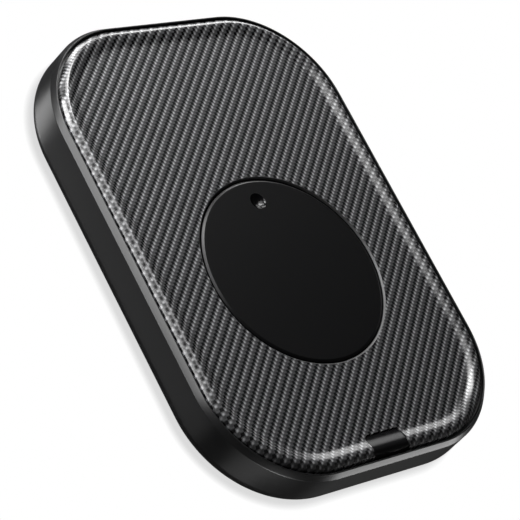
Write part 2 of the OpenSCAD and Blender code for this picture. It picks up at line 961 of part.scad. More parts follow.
// Two leads from the key's board, round a bend and back to the main board.
module key_leads() {
  color("#b8b8b8")
    for (side = [-1, 1]) {
      off = side * lead_pitch / 2;
      bend_x = -lead_run_x + lead_bend_r;
      bend_y = lead_y + lead_bend_r;
      translate([bend_x, lead_y + off, lead_z])
        rotate([0, 90, 0])
          cylinder(r = lead_r, h = -lead_start_x - bend_x);
      translate([bend_x, bend_y, lead_z])
        rotate([0, 0, 180])
          rotate_extrude(angle = 90)
            translate([lead_bend_r - off, 0])
              circle(r = lead_r);
      translate([-lead_run_x + off, bend_y, lead_z])
        rotate([-90, 0, 0])
          cylinder(r = lead_r, h = lead_end_y - bend_y);
    }
}

// ---- Power key ----

// The key's plan, grown all round by a gap.
module key_plan(gap) {
  half_w = key_w / 2 + gap;
  end_y = key_end_y + gap;
  r = key_corner_r + gap;
  translate([-half_w, front_y])
    square([2 * half_w, key_reach + gap - r]);
  translate([-half_w + r, front_y])
    square([2 * (half_w - r), key_reach + gap]);
  for (x = [-1, 1])
    translate([x * (half_w - r), end_y - r])
      circle(r = r);
}

module power_key() {
  half_w = key_w / 2;
  flange_half = half_w + key_flange_w;
  color("#1b1c1d") {
    intersection() {
      translate([-half_w, front_y, 0])
        rotate([90, 0, 90])
          linear_extrude(key_w)
            polygon(ridge_points(key_low_z, key_sink));
      translate([0, 0, key_low_z])
        linear_extrude(crest_z - key_low_z)
          key_plan(0);
    }
    block(-flange_half, flange_half, front_y + wall_t + flange_room, key_end_y + 0.9,
          key_low_z, key_low_z + key_flange_t);
    translate([key_c.x, key_c.y, 0])
      rod(key_stem_d / 2, stem_low_z, key_low_z + eps);
  }
}

// ---- The pieces ----

case_frame();
deck_cover();
bottom_cover();
case_screws();
foot(-1, -1);  // foot_front_left
foot(1, -1);  // foot_front_right
foot(-1, 1);  // foot_rear_left
foot(1, 1);  // foot_rear_right
turntable_disc();
turntable_gear();
spindle_pin();
thrust_washer();
spindle_clip();
reduction_gear();
reduction_pin();
motor_can();
motor_plate();
motor_coil();
motor_magnet();
motor_shaft();
motor_bushes();
motor_pinion();
motor_terminal();
motor_pad();
motor_screws();
motor_leads();
main_board();
socket_shell();
socket_tongue();
controller_chip();
driver_chip();
board_capacitors();
board_screws();
key_board();
switch_body();
switch_plunger();
key_leads();
power_key();
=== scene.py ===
import json
import math

import bmesh
import bpy
from bpy.props import FloatProperty, FloatVectorProperty, IntProperty, PointerProperty
from mathutils import Matrix, Vector

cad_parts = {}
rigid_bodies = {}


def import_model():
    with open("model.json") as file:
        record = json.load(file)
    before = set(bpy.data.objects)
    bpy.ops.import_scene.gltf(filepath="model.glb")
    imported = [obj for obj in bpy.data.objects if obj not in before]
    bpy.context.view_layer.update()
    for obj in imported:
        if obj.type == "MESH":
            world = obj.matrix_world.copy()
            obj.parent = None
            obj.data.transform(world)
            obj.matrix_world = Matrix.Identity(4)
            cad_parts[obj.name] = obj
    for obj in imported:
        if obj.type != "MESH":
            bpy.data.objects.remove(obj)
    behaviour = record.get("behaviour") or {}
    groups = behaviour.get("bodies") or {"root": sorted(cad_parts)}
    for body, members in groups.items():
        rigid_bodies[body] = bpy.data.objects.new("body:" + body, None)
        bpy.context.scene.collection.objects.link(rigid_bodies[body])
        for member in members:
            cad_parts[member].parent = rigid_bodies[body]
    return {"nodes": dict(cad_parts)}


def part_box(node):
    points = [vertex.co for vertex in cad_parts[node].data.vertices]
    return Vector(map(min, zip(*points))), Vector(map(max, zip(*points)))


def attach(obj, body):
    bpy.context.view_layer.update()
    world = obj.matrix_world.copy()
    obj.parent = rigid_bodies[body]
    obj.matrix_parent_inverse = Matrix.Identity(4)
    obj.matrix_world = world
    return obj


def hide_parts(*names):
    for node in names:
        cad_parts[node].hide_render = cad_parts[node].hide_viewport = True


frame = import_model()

bl_info = {
    "name": "Mouse jiggler",
    "version": (1, 0, 0),
    "blender": (4, 5, 0),
    "location": "3D View > Sidebar > Mouse jiggler",
    "description": "Builds a slim mouse jiggler with a twill-patterned deck and a motor-driven disc",
    "category": "Object",
}

MM = 0.001
NODES = frame["nodes"]


def middle(low, high):
    """The centre of a box."""
    return tuple((a + b) / 2 for a, b in zip(low, high))


CASE_LOW, CASE_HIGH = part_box("case_frame")
DISC_LOW, DISC_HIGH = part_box("turntable_disc")
DISC_CENTRE = middle(DISC_LOW, DISC_HIGH)
DISC_RADIUS = (DISC_HIGH.x - DISC_LOW.x) / 2


def linear(code):
    """A linear colour from an sRGB hex code."""
    parts = [int(code[i:i + 2], 16) / 255 for i in (1, 3, 5)]
    return tuple(p / 12.92 if p <= 0.04045 else ((p + 0.055) / 1.055) ** 2.4 for p in parts)


# ---------------------------------------------------------------- sizes and colours


def length(name, description, default, **more):
    """A length property in metres."""
    return FloatProperty(name=name, description=description, default=default,
                         min=0, unit="LENGTH", precision=5, **more)


def colour(name, description, code):
    """A colour property from an sRGB hex code."""
    return FloatVectorProperty(name=name, description=description, default=linear(code),
                               subtype="COLOR", size=3, min=0, max=1)


class CasingSettings(bpy.types.PropertyGroup):
    """Sizes and colours of the casing and the bottom cover."""
    width: length("Width", "Width of the casing", CASE_HIGH.x - CASE_LOW.x)
    length: length("Length", "Length of the casing", CASE_HIGH.y - CASE_LOW.y)
    corner: length("Corner radius", "Radius of the corners in plan", 26.5 * MM)
    tuck_width: length("Tuck width", "How far the lower edge is tucked in", 2.2 * MM)
    tuck_height: length("Tuck height", "Height over which the lower edge curves in", 4 * MM)
    lean: length("Wall lean", "How far the side wall leans in towards the band", 0.28 * MM)
    band_width: length("Band width", "Width of the sloping band in plan", 0.87 * MM)
    band_height: length("Band height", "Height of the sloping band", 1.4 * MM)
    lip: length("Lip width", "Width of the flat lip inside the band", 0.3 * MM)
    ledge_drop: length("Ledge drop", "Height from the deck's ledge to the top edge", 1.3 * MM)
    steps: IntProperty(name="Steps", description="Steps round the outline", default=320, min=48)
    paint: colour("Casing", "Colour of the satin casing", "#101011")
    base_paint: colour("Bottom cover", "Colour of the matt bottom cover", "#1a1a1b")


class DeckSettings(bpy.types.PropertyGroup):
    """Sizes and colours of the deck and its weave."""
    inset: length("Inset", "Distance of the deck's edge inside the casing's outline", 2.05 * MM)
    bevel: length("Edge bevel", "Width of the bevel on the deck's outer edge", 0.12 * MM)
    bevel_drop: length("Edge bevel height", "Height of the bevel on the deck's outer edge", 0.2 * MM)
    outer_slope: length("Outer slope", "Width of the ridge's outer slope", 1.53 * MM)
    inner_slope: length("Inner slope", "Width of the ridge's inner slope", 3.5 * MM)
    opening_bevel: length("Opening bevel", "Bevel on the disc's opening", 0.37 * MM)
    ridge: length("Ridge height", "Height of the ridge above the deck's floor", 1 * MM)
    floor: length("Floor height", "Height of the deck's floor above the desk", 12.5 * MM)
    slope_steps: IntProperty(name="Slope steps", description="Steps across each slope", default=18, min=4)
    tow_x: length("Tow pitch across", "Pitch of the tows that run front to rear", 0.736 * MM)
    tow_y: length("Tow pitch along", "Pitch of the tows that run side to side", 0.718 * MM)
    shift_x: FloatProperty(name="Weave shift across", description="Shift of the weave along X, in tows",
                           default=0.08)
    shift_y: FloatProperty(name="Weave shift along", description="Shift of the weave along Y, in tows",
                           default=0.45)
    floor_coat: FloatProperty(name="Floor coat", description="Weight of the clear coat on the flat floor",
                              default=0.14, min=0, max=1)
    # The tow colours hold painted light. The side-to-side tow carries a painted highlight and the
    # front-to-rear tow a dimmer painted sheen, though both are the same fibre. The valley colour is dark
    # resin, and also the painted shade where the tows dive.
    weft_painted_highlight: colour("Bright tow", "Crest of a tow that runs side to side", "#a2a2a4")
    warp_painted_sheen: colour("Dull tow", "Crest of a tow that runs front to rear", "#59595b")
    valley: colour("Valley", "Resin in the valleys between tows", "#050506")


class DiscSettings(bpy.types.PropertyGroup):
    """Sizes and colour of the disc."""
    bevel_width: length("Bevel width", "Width of the bevel on the disc's edge", 0.55 * MM)
    bevel_height: length("Bevel height", "Height of the bevel on the disc's edge", 0.3 * MM)
    gap: length("Gap", "Gap between the disc and the deck's opening", 0.4 * MM)
    dimple: length("Dimple", "Diameter of the finger dimple", 4.2 * MM)
    dimple_depth: length("Dimple depth", "Depth of the finger dimple", 1 * MM)
    dimple_reach: length("Dimple reach", "Distance of the dimple from the disc's axis", 18.4 * MM)
    paint: colour("Disc", "Colour of the satin disc", "#060607")


class KeySettings(bpy.types.PropertyGroup):
    """Sizes and colour of the power key."""
    reach: length("Reach", "Distance from the casing's front to the key's inner end", 7.5 * MM)
    sink: length("Sink", "How far the key's face lies below the deck's surface", 0.15 * MM)
    gap: length("Gap", "Gap round the key", 0.2 * MM)
    corner: length("Corner", "Radius of the key's inner corners", 1.2 * MM)
    width: length("Width", "Width of the key", 10.7 * MM)
    paint: colour("Key", "Colour of the gloss key", "#0e0e0f")


class StageSettings(bpy.types.PropertyGroup):
    """Camera, floor and light."""
    distance: length("Camera distance", "Distance of the camera from the part's origin", 0.529)
    lens: FloatProperty(name="Lens", description="Focal length on a 36 mm wide frame",
                        default=158.06, min=10, unit="CAMERA")
    floor: colour("Floor", "Colour of the pale floor", "#c4c4c4")
    key_light: FloatProperty(name="Key light", default=0.95, min=0,
                             description="Strength of the soft lamp, where 1 shows a colour as written")
    cards: FloatProperty(name="Cards", default=1, min=0,
                         description="Strength of the bright cards that the gloss mirrors")
    surround: FloatProperty(name="Surround", default=0.04, min=0, description="Strength of the dim studio")


# ---------------------------------------------------------------- helpers for trees and meshes


MATH, MIX, RANGE = "ShaderNodeMath", "ShaderNodeMix", "ShaderNodeMapRange"
NOISE, BUMP, BOOLEAN = "ShaderNodeTexNoise", "ShaderNodeBump", "GeometryNodeMeshBoolean"


def connect(tree, node, inputs):
    """Sets or links a node's inputs: {input: value}, or values for its live inputs in order."""
    if isinstance(inputs, dict):
        pairs = [(node.inputs[key], value) for key, value in inputs.items()]
    else:
        pairs = list(zip([socket for socket in node.inputs if socket.enabled], inputs))
    for socket, value in pairs:
        for one in value if isinstance(value, list) else [value]:
            if isinstance(one, bpy.types.Node):
                one = next(output for output in one.outputs if output.enabled)
            if isinstance(one, bpy.types.NodeSocket):
                tree.links.new(one, socket)
            else:
                socket.default_value = (*one[:3], 1) if socket.type == "RGBA" else one


def add(tree, kind, inputs=(), **settings):
    """Adds a node with its settings and its links."""
    node = tree.nodes.new(kind)
    for name, value in settings.items():
        setattr(node, name, value)
    connect(tree, node, inputs)
    return node


def geometry_tree(name, inputs):
    """A geometry tree with named inputs: (label, kind, default)."""
    tree = bpy.data.node_groups.new(name, "GeometryNodeTree")
    face = tree.interface
    face.new_socket("Geometry", in_out="INPUT", socket_type="NodeSocketGeometry")
    for label, kind, default in inputs:
        item = face.new_socket(label, in_out="INPUT", socket_type="NodeSocket" + kind)
        if default is not None:
            item.default_value = default
    face.new_socket("Geometry", in_out="OUTPUT", socket_type="NodeSocketGeometry")
    return tree, add(tree, "NodeGroupInput").outputs


def close_tree(tree, geometry, material):
    """Ends a geometry tree in Realize Instances and Set Material."""
    solid = add(tree, "GeometryNodeRealizeInstances", {"Geometry": geometry})
    coated = add(tree, "GeometryNodeSetMaterial", {"Geometry": solid, "Material": material})
    add(tree, "NodeGroupOutput", {"Geometry": coated})


def grown(name, seed, tree, values):
    """The plain mesh that a geometry tree grows from a seed mesh."""
    carrier = bpy.data.objects.new(name, seed)
    bpy.context.scene.collection.objects.link(carrier)
    modifier = carrier.modifiers.new(tree.name, "NODES")
    modifier.node_group = tree
    sockets = {i.name: i.identifier for i in tree.interface.items_tree if i.in_out == "INPUT"}
    for label, value in values.items():
        modifier[sockets[label]] = value
    graph = bpy.context.evaluated_depsgraph_get()
    mesh = bpy.data.meshes.new_from_object(carrier.evaluated_get(graph))
    bpy.data.objects.remove(carrier)
    if not mesh.polygons:
        raise RuntimeError(f"{name} came out empty")
    return mesh


def seed_mesh(name, points, closed=False):
    """Loose points, or a closed chain of edges."""
    mesh = bpy.data.meshes.new(name)
    n = len(points)
    edges = [(i, (i + 1) % n) for i in range(n)] if closed else []
    mesh.from_pydata([tuple(p) for p in points], edges, [])
    return mesh


def mesh_from(bm, name):
    """A mesh from a bmesh, with faces pointing outwards."""
    bmesh.ops.remove_doubles(bm, verts=bm.verts, dist=1e-7)
    bmesh.ops.recalc_face_normals(bm, faces=bm.faces)
    mesh = bpy.data.meshes.new(name)
    bm.to_mesh(mesh)
    bm.free()
    return mesh


def lathe(bm, profile, centre, steps=128):
    """Turns (radius, height) pairs about an upright axis; a radius of 0 is a pole."""
    x, y = centre[:2]
    rings = []
    for r, z in profile:
        if r < 1e-9:
            rings.append([bm.verts.new((x, y, z))])
            continue
        turn = [2 * math.pi * k / steps for k in range(steps)]
        rings.append([bm.verts.new((x + r * math.cos(a), y + r * math.sin(a), z)) for a in turn])
    for low, high in zip(rings, rings[1:]):
        for k in range(steps):
            m = k + 1
            corners = [low[k % len(low)], low[m % len(low)], high[m % len(high)], high[k % len(high)]]
            kept = [v for i, v in enumerate(corners) if v not in corners[:i]]
            if len(kept) > 2:
                bm.faces.new(kept)


def turned(name, profile, centre=(0, 0), steps=128):
    """A mesh turned from (radius, height) pairs."""
    bm = bmesh.new()
    lathe(bm, profile, centre, steps)
    return mesh_from(bm, name)


def block(bm, centre, size):
    """Adds a box to a bmesh."""
    verts = bmesh.ops.create_cube(bm, size=1)["verts"]
    bmesh.ops.transform(bm, verts=verts, matrix=Matrix.Translation(centre) @ Matrix.Diagonal((*size, 1)))


def filleted(points, radii, steps=5):
    """A closed polygon with its corners rounded; radii is {index: radius}."""
    out = []
    n = len(points)
    for i, p in enumerate(points):
        radius = radii.get(i, 0)
        if not radius:
            out.append(tuple(p))
            continue
        p, a, b = Vector(p), Vector(points[i - 1]), Vector(points[(i + 1) % n])
        u, v = (a - p).normalized(), (b - p).normalized()
        half = math.acos(max(-1, min(1, u.dot(v)))) / 2
        reach = radius / math.tan(half)
        start, end = p + u * reach, p + v * reach
        for k in range(steps + 1):
            t = k / steps
            out.append(tuple((1 - t) ** 2 * start + 2 * t * (1 - t) * p + t ** 2 * end))
    return out


def cut(mesh, cutter):
    """The mesh with another mesh cut away from it."""
    scene = bpy.context.scene.collection.objects
    body, tool = (bpy.data.objects.new(m.name, m) for m in (mesh, cutter))
    scene.link(body)
    scene.link(tool)
    modifier = body.modifiers.new("cut", "BOOLEAN")
    modifier.object, modifier.operation, modifier.solver = tool, "DIFFERENCE", "EXACT"
    graph = bpy.context.evaluated_depsgraph_get()
    made = bpy.data.meshes.new_from_object(body.evaluated_get(graph))
    bpy.data.objects.remove(body)
    bpy.data.objects.remove(tool)
    return made


def smooth(mesh, angle=35):
    """Shades smooth, with edges sharper than an angle left crisp."""
    mesh.polygons.foreach_set("use_smooth", [True] * len(mesh.polygons))
    mesh.set_sharp_from_angle(angle=math.radians(angle))
    return mesh


def place(name, mesh, body, material=None, replaces=()):
    """Puts a finished mesh in the scene as a piece that rides on a body."""
    if material is not None:
        mesh.materials.clear()
        mesh.materials.append(material)
    mesh.name = name
    piece = bpy.data.objects.new(name, mesh)
    bpy.context.scene.collection.objects.link(piece)
    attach(piece, body)
    if replaces:
        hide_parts(*replaces)


def coat(material, *names):
    """Gives CAD nodes a material."""
    for name in names:
        slots = NODES[name].material_slots
        if not slots:
            raise RuntimeError(f"{name} has no material slot")
        for slot in slots:
            slot.material = material


# ---------------------------------------------------------------- materials


def spaced(values):
    """Socket names from keywords: Coat_Weight is Coat Weight."""
    return {key.replace("_", " "): value for key, value in values.items()}


def new_material(name, **values):
    """A material with its shader, and the shader's uniform values set on its own sockets."""
    material = bpy.data.materials.new(name)
    material.use_nodes = True
    tree = material.node_tree
    shader = tree.nodes["Principled BSDF"]
    connect(tree, shader, spaced(values))
    return material, tree, shader


def texture(tree, kind, scale, stretch=None, **values):
    """A 3D texture in object space, scaled in cycles per metre."""
    spot = add(tree, "ShaderNodeTexCoord").outputs["Object"]
    if stretch:
        spot = add(tree, "ShaderNodeMapping", {"Vector": spot, "Scale": stretch})
    return add(tree, kind, {"Vector": spot, "Scale": scale, **spaced(values)})


def moulded(name, tone, roughness, grain=0.25 * MM, depth=0.01 * MM, spread=0.12, **values):
    """Moulded or cast: an even tone, with the mould's fine grain in its colour, gloss and surface."""
    material, tree, shader = new_material(name, **values)
    fine = texture(tree, NOISE, 1 / grain, Detail=3.0)
    broad = texture(tree, NOISE, 1 / (12 * MM), Detail=2.0)
    dark = tuple(c * (1 - spread) for c in tone)
    pale = tuple(min(1, c * (1 + spread)) for c in tone)
    speck = add(tree, MIX, (fine, dark, pale), data_type="RGBA")
    shine = add(tree, RANGE, {"Value": fine, "To Min": roughness * 0.92, "To Max": roughness * 1.08})
    connect(tree, shader, {
        "Base Color": add(tree, MIX, (broad, speck, tone), data_type="RGBA"),
        "Roughness": shine,
        "Normal": add(tree, BUMP, {"Height": fine, "Strength": 0.5, "Distance": depth})})
    return material


def brushed(name, tone, roughness, stretch=(1, 1, 30), pitch=0.12 * MM):
    """Metal with fine marks along one direction, from rolling, turning or plating.

    Real marks are a few hundredths of a millimetre apart. These are drawn coarser, so that they show.
    """
    material, tree, shader = new_material(name, Metallic=1.0)
    marks = texture(tree, NOISE, 1 / pitch, stretch, Detail=4.0)
    blots = texture(tree, NOISE, 1 / (2.5 * MM), Detail=3.0)
    dark = tuple(c * 0.8 for c in tone)
    shine = add(tree, RANGE, {"Value": blots, "To Min": roughness * 0.75, "To Max": roughness * 1.3})
    connect(tree, shader, {
        "Base Color": add(tree, MIX, (marks, dark, tone), data_type="RGBA"),
        "Roughness": shine,
        "Normal": add(tree, BUMP, {"Height": marks, "Strength": 0.25, "Distance": 0.01 * MM})})
    return material


# The painted light along a tow, from where it rises to where it dives: (share of its length, value). Each
# tow is painted brighter where it faces the light and darker where it turns away, as painted highlight and
# painted shade. A tow that runs side to side is the weft, and has a crest and edges; one that runs front to
# rear is the warp.
WEFT_CREST_PAINTED_LIGHT = ((0.0, 0.02), (0.08, 0.25), (0.22, 1.0), (0.34, 0.7), (0.46, 0.28), (0.6, 0.13), (0.8, 0.1),
              (1.0, 0.1))
WEFT_EDGE_PAINTED_LIGHT = ((0.0, 0.02), (0.08, 0.12), (0.22, 0.25), (0.5, 0.2), (0.8, 0.15), (1.0, 0.12))
WARP_PAINTED_LIGHT = ((0.0, 0.55), (0.12, 0.48), (0.22, 0.24), (0.34, 0.05), (0.42, 0.0), (0.7, 0.0), (0.82, 0.2),
             (0.94, 0.72), (1.0, 0.72))


def set_stops(band, stops):
    """Gives a colour ramp its greys: (place, value)."""
    while len(band.elements) < len(stops):
        band.elements.new(0.5)
    for element, (at, value) in zip(band.elements, stops):
        element.position = at
        element.color = (value, value, value, 1)


def twill_film(settings, opening):
    """Clear-coated 2/2 twill: each tow passes over two and under two, one step on in each row.

    The eye sees diagonal ribs. Their light and shade are painted into the colour. In each rib a tow that
    runs side to side shows a painted highlight on its crest where it rises and then an even grey. The tow
    that runs front to rear is grey at its rear end and sinks into painted shade, as dark as the resin, at
    its front end. The side-to-side tows are painted brighter than the front-to-rear ones, though both are
    the same fibre: a painted sheen.
    """
    material, tree, shader = new_material("Gloss twill film", Roughness=0.45, IOR=1.5, Coat_Weight=1.0,
                                          Coat_Roughness=0.2, Coat_IOR=1.6)
    coords = add(tree, "ShaderNodeTexCoord").outputs
    spot = add(tree, "ShaderNodeSeparateXYZ", (coords["Object"],)).outputs
    u = add(tree, MATH, (spot["X"], 1 / settings.tow_x, settings.shift_x), operation="MULTIPLY_ADD")
    v = add(tree, MATH, (spot["Y"], 1 / settings.tow_y, settings.shift_y), operation="MULTIPLY_ADD")
    column, row = (add(tree, MATH, (at,), operation="FLOOR") for at in (u, v))
    in_column, in_row = (add(tree, MATH, (at,), operation="FRACT") for at in (u, v))
    diagonal = add(tree, MATH, (column, row), operation="SUBTRACT")
    step = add(tree, MATH, (diagonal, 4.0), operation="FLOORED_MODULO")
    # 1 where the weft is on top: steps 1 and 2 of the four.
    weft = add(tree, MATH, (step, 1.5, 0.6), operation="COMPARE")

    # How far along its two cells the tow is, and how far across it.
    weft_cell = add(tree, MATH, (step, 1.0), operation="SUBTRACT")
    weft_along = add(tree, MATH, (in_column, weft_cell), operation="ADD")
    warp_cell = add(tree, MATH, (step, 0.5), operation="LESS_THAN")
    from_rear = add(tree, MATH, (1.0, in_row), operation="SUBTRACT")
    warp_along = add(tree, MATH, (from_rear, warp_cell), operation="ADD")
    share = add(tree, MATH, (add(tree, MIX, (weft, warp_along, weft_along)), 0.5), operation="MULTIPLY")
    off_middle = add(tree, MATH, (add(tree, MIX, (weft, in_column, in_row)), 0.5), operation="SUBTRACT")
    squared = add(tree, MATH, (off_middle, off_middle), operation="MULTIPLY")
    cross = add(tree, MATH, (squared, -4.0, 1.0), operation="MULTIPLY_ADD")

    # The ramps paint light and shade into each tow's colour: a painted highlight where the tow faces the
    # light, and painted shade where it dives or turns away.
    crest, edge, warp_shading = (add(tree, "ShaderNodeValToRGB", (share,)) for _ in range(3))
    for ramp, stops in ((crest, WEFT_CREST_PAINTED_LIGHT), (edge, WEFT_EDGE_PAINTED_LIGHT), (warp_shading, WARP_PAINTED_LIGHT)):
        set_stops(ramp.color_ramp, stops)
    weft_shading = add(tree, MIX, (cross, edge, crest), data_type="RGBA")
    weft_shaded_colour = add(tree, MIX, (weft_shading, settings.valley, settings.weft_painted_highlight), data_type="RGBA")
    warp_shaded_colour = add(tree, MIX, (warp_shading, settings.valley, settings.warp_painted_sheen), data_type="RGBA")
    woven = add(tree, MIX, (weft, warp_shaded_colour, weft_shaded_colour), data_type="RGBA")

    # The film ends at the opening's bevel, which is bare satin plastic.
    centre = (*DISC_CENTRE[:2], settings.floor)
    away = add(tree, "ShaderNodeVectorMath", (coords["Object"], centre), operation="DISTANCE")
    film = add(tree, MATH, (away, opening + settings.opening_bevel), operation="GREATER_THAN")
    woven = add(tree, MIX, (film, settings.valley, woven), data_type="RGBA")
    # The coat is thin on the flat floor, which is satin so that a mouse's sensor reads it.
    rise = add(tree, RANGE, {"Value": spot["Z"], "From Min": settings.floor + 0.01 * MM,
                             "From Max": settings.floor + 0.15 * MM, "To Min": settings.floor_coat})
    facing = add(tree, "ShaderNodeSeparateXYZ", (coords["Normal"],)).outputs
    steep = add(tree, MATH, (facing["Z"], 0.9), operation="LESS_THAN")
    thick = add(tree, MATH, (rise, steep), operation="MAXIMUM")
    # The specular level follows the tone, so it is lower wherever the tone is painted dark, whether as
    # painted shade or as resin.
    tone = add(tree, MIX, (weft, warp_shading, weft_shading), data_type="RGBA")
    fibre_shine = add(tree, "ShaderNodeClamp", (tone, 0.12, 0.5))
    bevel_shine = 1.6
    shine = add(tree, MIX, (film, bevel_shine, fibre_shine))

    # Fibres run along each tow, about twelve across it, and the tone drifts over a few millimetres.
    fibres, drawn_out = 12.0, 1.5
    fibre_u = add(tree, MATH, (u, add(tree, MIX, (weft, fibres, drawn_out))), operation="MULTIPLY")
    fibre_v = add(tree, MATH, (v, add(tree, MIX, (weft, drawn_out, fibres))), operation="MULTIPLY")
    fibre_spot = add(tree, "ShaderNodeCombineXYZ", (fibre_u, fibre_v))
    fibre = add(tree, NOISE, {"Vector": fibre_spot, "Scale": 1.0, "Detail": 2.0})
    drift = texture(tree, NOISE, 1 / (3 * MM), Detail=2.0)
    streaks = add(tree, RANGE, {"Value": fibre, "To Min": 0.7, "To Max": 1.3})
    patches = add(tree, RANGE, {"Value": drift, "To Min": 0.75, "To Max": 1.25})
    gain = add(tree, MATH, (streaks, patches), operation="MULTIPLY")

    # The clear coat is poured, so it shows the weave's relief only faintly.
    arch = add(tree, MATH, (add(tree, MATH, (share, math.pi), operation="MULTIPLY"),), operation="SINE")
    domed = add(tree, MATH, (arch, 0.6, 0.4), operation="MULTIPLY_ADD")
    height = add(tree, MATH, (cross, domed), operation="MULTIPLY")
    relief = 0.04 * MM
    connect(tree, shader, {
        "Base Color": add(tree, MIX, (1.0, woven, gain), data_type="RGBA", blend_type="MULTIPLY"),
        "Specular IOR Level": add(tree, MATH, (shine, 0.5), operation="MULTIPLY"),
        "Normal": add(tree, BUMP, {"Height": height, "Strength": 0.18, "Distance": relief}),
        "Coat Weight": add(tree, MATH, (film, thick), operation="MULTIPLY"),
        "Coat Normal": add(tree, BUMP, {"Height": height, "Strength": 0.015, "Distance": relief})})
    return material


def solder_mask():
    """Green solder mask: glossy varnish, with the copper tracks paler under it on a 1.27 mm grid."""
    material, tree, shader = new_material("Solder mask on fibreglass board", Roughness=0.3, Coat_Weight=0.4)
    tracks = texture(tree, "ShaderNodeTexBrick", 1 / (2.54 * MM), Color1=linear("#155c36"),
                     Color2=linear("#124f2f"), Mortar=linear("#2f8a55"), Mortar_Size=0.05)
    connect(tree, shader, {
        "Base Color": tracks,
        "Normal": add(tree, BUMP, {"Height": tracks.outputs["Fac"], "Strength": 0.2, "Distance": 0.03 * MM})})
    return material


# ---------------------------------------------------------------- geometry trees


def moved(tree, geometry, x=0.0, y=0.0, z=0.0, turn=(0, 0, 0)):
    """Geometry turned and carried to a place that may come from sockets."""
    spot = add(tree, "ShaderNodeCombineXYZ", (x, y, z))
    return add(tree, "GeometryNodeTransform", {"Geometry": geometry, "Translation": spot, "Rotation": turn})


def rounded_outline(tree, wide, long, radius):
    """A rectangle with round corners."""
    flat = add(tree, "GeometryNodeCurvePrimitiveQuadrilateral", {"Width": wide, "Height": long})
    return add(tree, "GeometryNodeFilletCurve", {"Curve": flat, "Count": 48, "Radius": radius}, mode="POLY")


def prism(tree, curve, low, tall):
    """An upright solid on a closed plan."""
    face = add(tree, "GeometryNodeFillCurve", {"Curve": curve}, mode="NGONS")
    up = add(tree, "GeometryNodeExtrudeMesh", {"Mesh": face, "Offset Scale": tall, "Individual": False})
    under = add(tree, "GeometryNodeFlipFaces", {"Mesh": face})
    both = add(tree, "GeometryNodeJoinGeometry", {"Geometry": [up, under]})
    shut = add(tree, "GeometryNodeMergeByDistance", {"Geometry": both, "Distance": 1e-7})
    return moved(tree, shut, z=low)


def shrunk(tree, value, inset):
    """A size less twice an inset."""
    return add(tree, MATH, (inset, -2.0, value), operation="MULTIPLY_ADD")


def swept_rim(tree, sockets):
    """Carries the seed's section round the outline."""
    outline = rounded_outline(tree, sockets["Width"], sockets["Length"], sockets["Corner"])
    even = add(tree, "GeometryNodeResampleCurve", {"Curve": outline, "Count": sockets["Steps"]})
    upright = add(tree, "GeometryNodeSetCurveNormal", {"Curve": even}, mode="Z_UP")
    section = add(tree, "GeometryNodeMeshToCurve", {"Mesh": sockets["Geometry"]})
    return add(tree, "GeometryNodeCurveToMesh", {"Curve": upright, "Profile Curve": section})


def upright_cylinder(tree, radius, tall, y=0.0, z=0.0, sides=64):
    """A cylinder whose middle is at a place."""
    drum = add(tree, "GeometryNodeMeshCylinder", {"Vertices": sides, "Radius": radius, "Depth": tall})
    return moved(tree, drum, y=y, z=z)


# The inputs that both swept shapes have.
OUTLINE_SIZES = (("Width", "Float", 0.086), ("Length", "Float", 0.12), ("Corner", "Float", 0.0265),
                 ("Steps", "Int", 320))
# Upright cutters reach this high, well past the part's top.
CLEAR = 20 * MM


def deck_tree():
    """Ridge swept round the outline, a flat floor, the disc's bevelled opening and the key's notch."""
    tree, sockets = geometry_tree("Ridged deck", [
        *OUTLINE_SIZES,
        ("Floor Inset", "Float", 0.007), ("Floor Top", "Float", 0.0125), ("Floor Thickness", "Float", 0.0012),
        ("Opening Radius", "Float", 0.0244), ("Opening Y", "Float", -0.0098),
        ("Opening Bevel", "Float", 0.00037), ("Notch Width", "Float", 0.0111),
        ("Notch End", "Float", -0.0523), ("Notch Corner", "Float", 0.0014), ("Material", "Material", None)])
    inset, top, thick = sockets["Floor Inset"], sockets["Floor Top"], sockets["Floor Thickness"]
    opening, bevel, middle_y = sockets["Opening Radius"], sockets["Opening Bevel"], sockets["Opening Y"]
    rim = swept_rim(tree, sockets)
    low = add(tree, MATH, (top, thick), operation="SUBTRACT")
    corner = add(tree, MATH, (sockets["Corner"], inset), operation="SUBTRACT")
    wide, long = shrunk(tree, sockets["Width"], inset), shrunk(tree, sockets["Length"], inset)
    floor = prism(tree, rounded_outline(tree, wide, long, corner), low, thick)
    whole = add(tree, BOOLEAN, {"Mesh 2": [rim, floor]}, operation="UNION", solver="EXACT")
    # The opening's bevel is cut by a cone that stands just proud of the floor.
    round_steps, proud = 192, 2e-6
    drum = upright_cylinder(tree, opening, CLEAR, middle_y, top, round_steps)
    wider = add(tree, MATH, (opening, bevel), operation="ADD")
    cone = add(tree, "GeometryNodeMeshCone", {"Vertices": round_steps, "Radius Bottom": opening,
                                              "Radius Top": wider, "Depth": bevel})
    bevel_low = add(tree, MATH, (top, bevel), operation="SUBTRACT")
    chamfer = moved(tree, cone, y=middle_y, z=add(tree, MATH, (bevel_low, proud), operation="ADD"))
    # The notch runs from its inner end out past the front edge.
    notch_long = 0.03
    notch = rounded_outline(tree, sockets["Notch Width"], notch_long, sockets["Notch Corner"])
    notch_y = add(tree, MATH, (sockets["Notch End"], notch_long / 2), operation="SUBTRACT")
    slot = moved(tree, prism(tree, notch, 0.0, notch_long), y=notch_y)
    opened = add(tree, BOOLEAN, {"Mesh 1": whole, "Mesh 2": [drum, slot]},
                 operation="DIFFERENCE", solver="EXACT")
    done = add(tree, BOOLEAN, {"Mesh 1": opened, "Mesh 2": [chamfer]},
               operation="DIFFERENCE", solver="EXACT")
    close_tree(tree, done, sockets["Material"])
    return tree


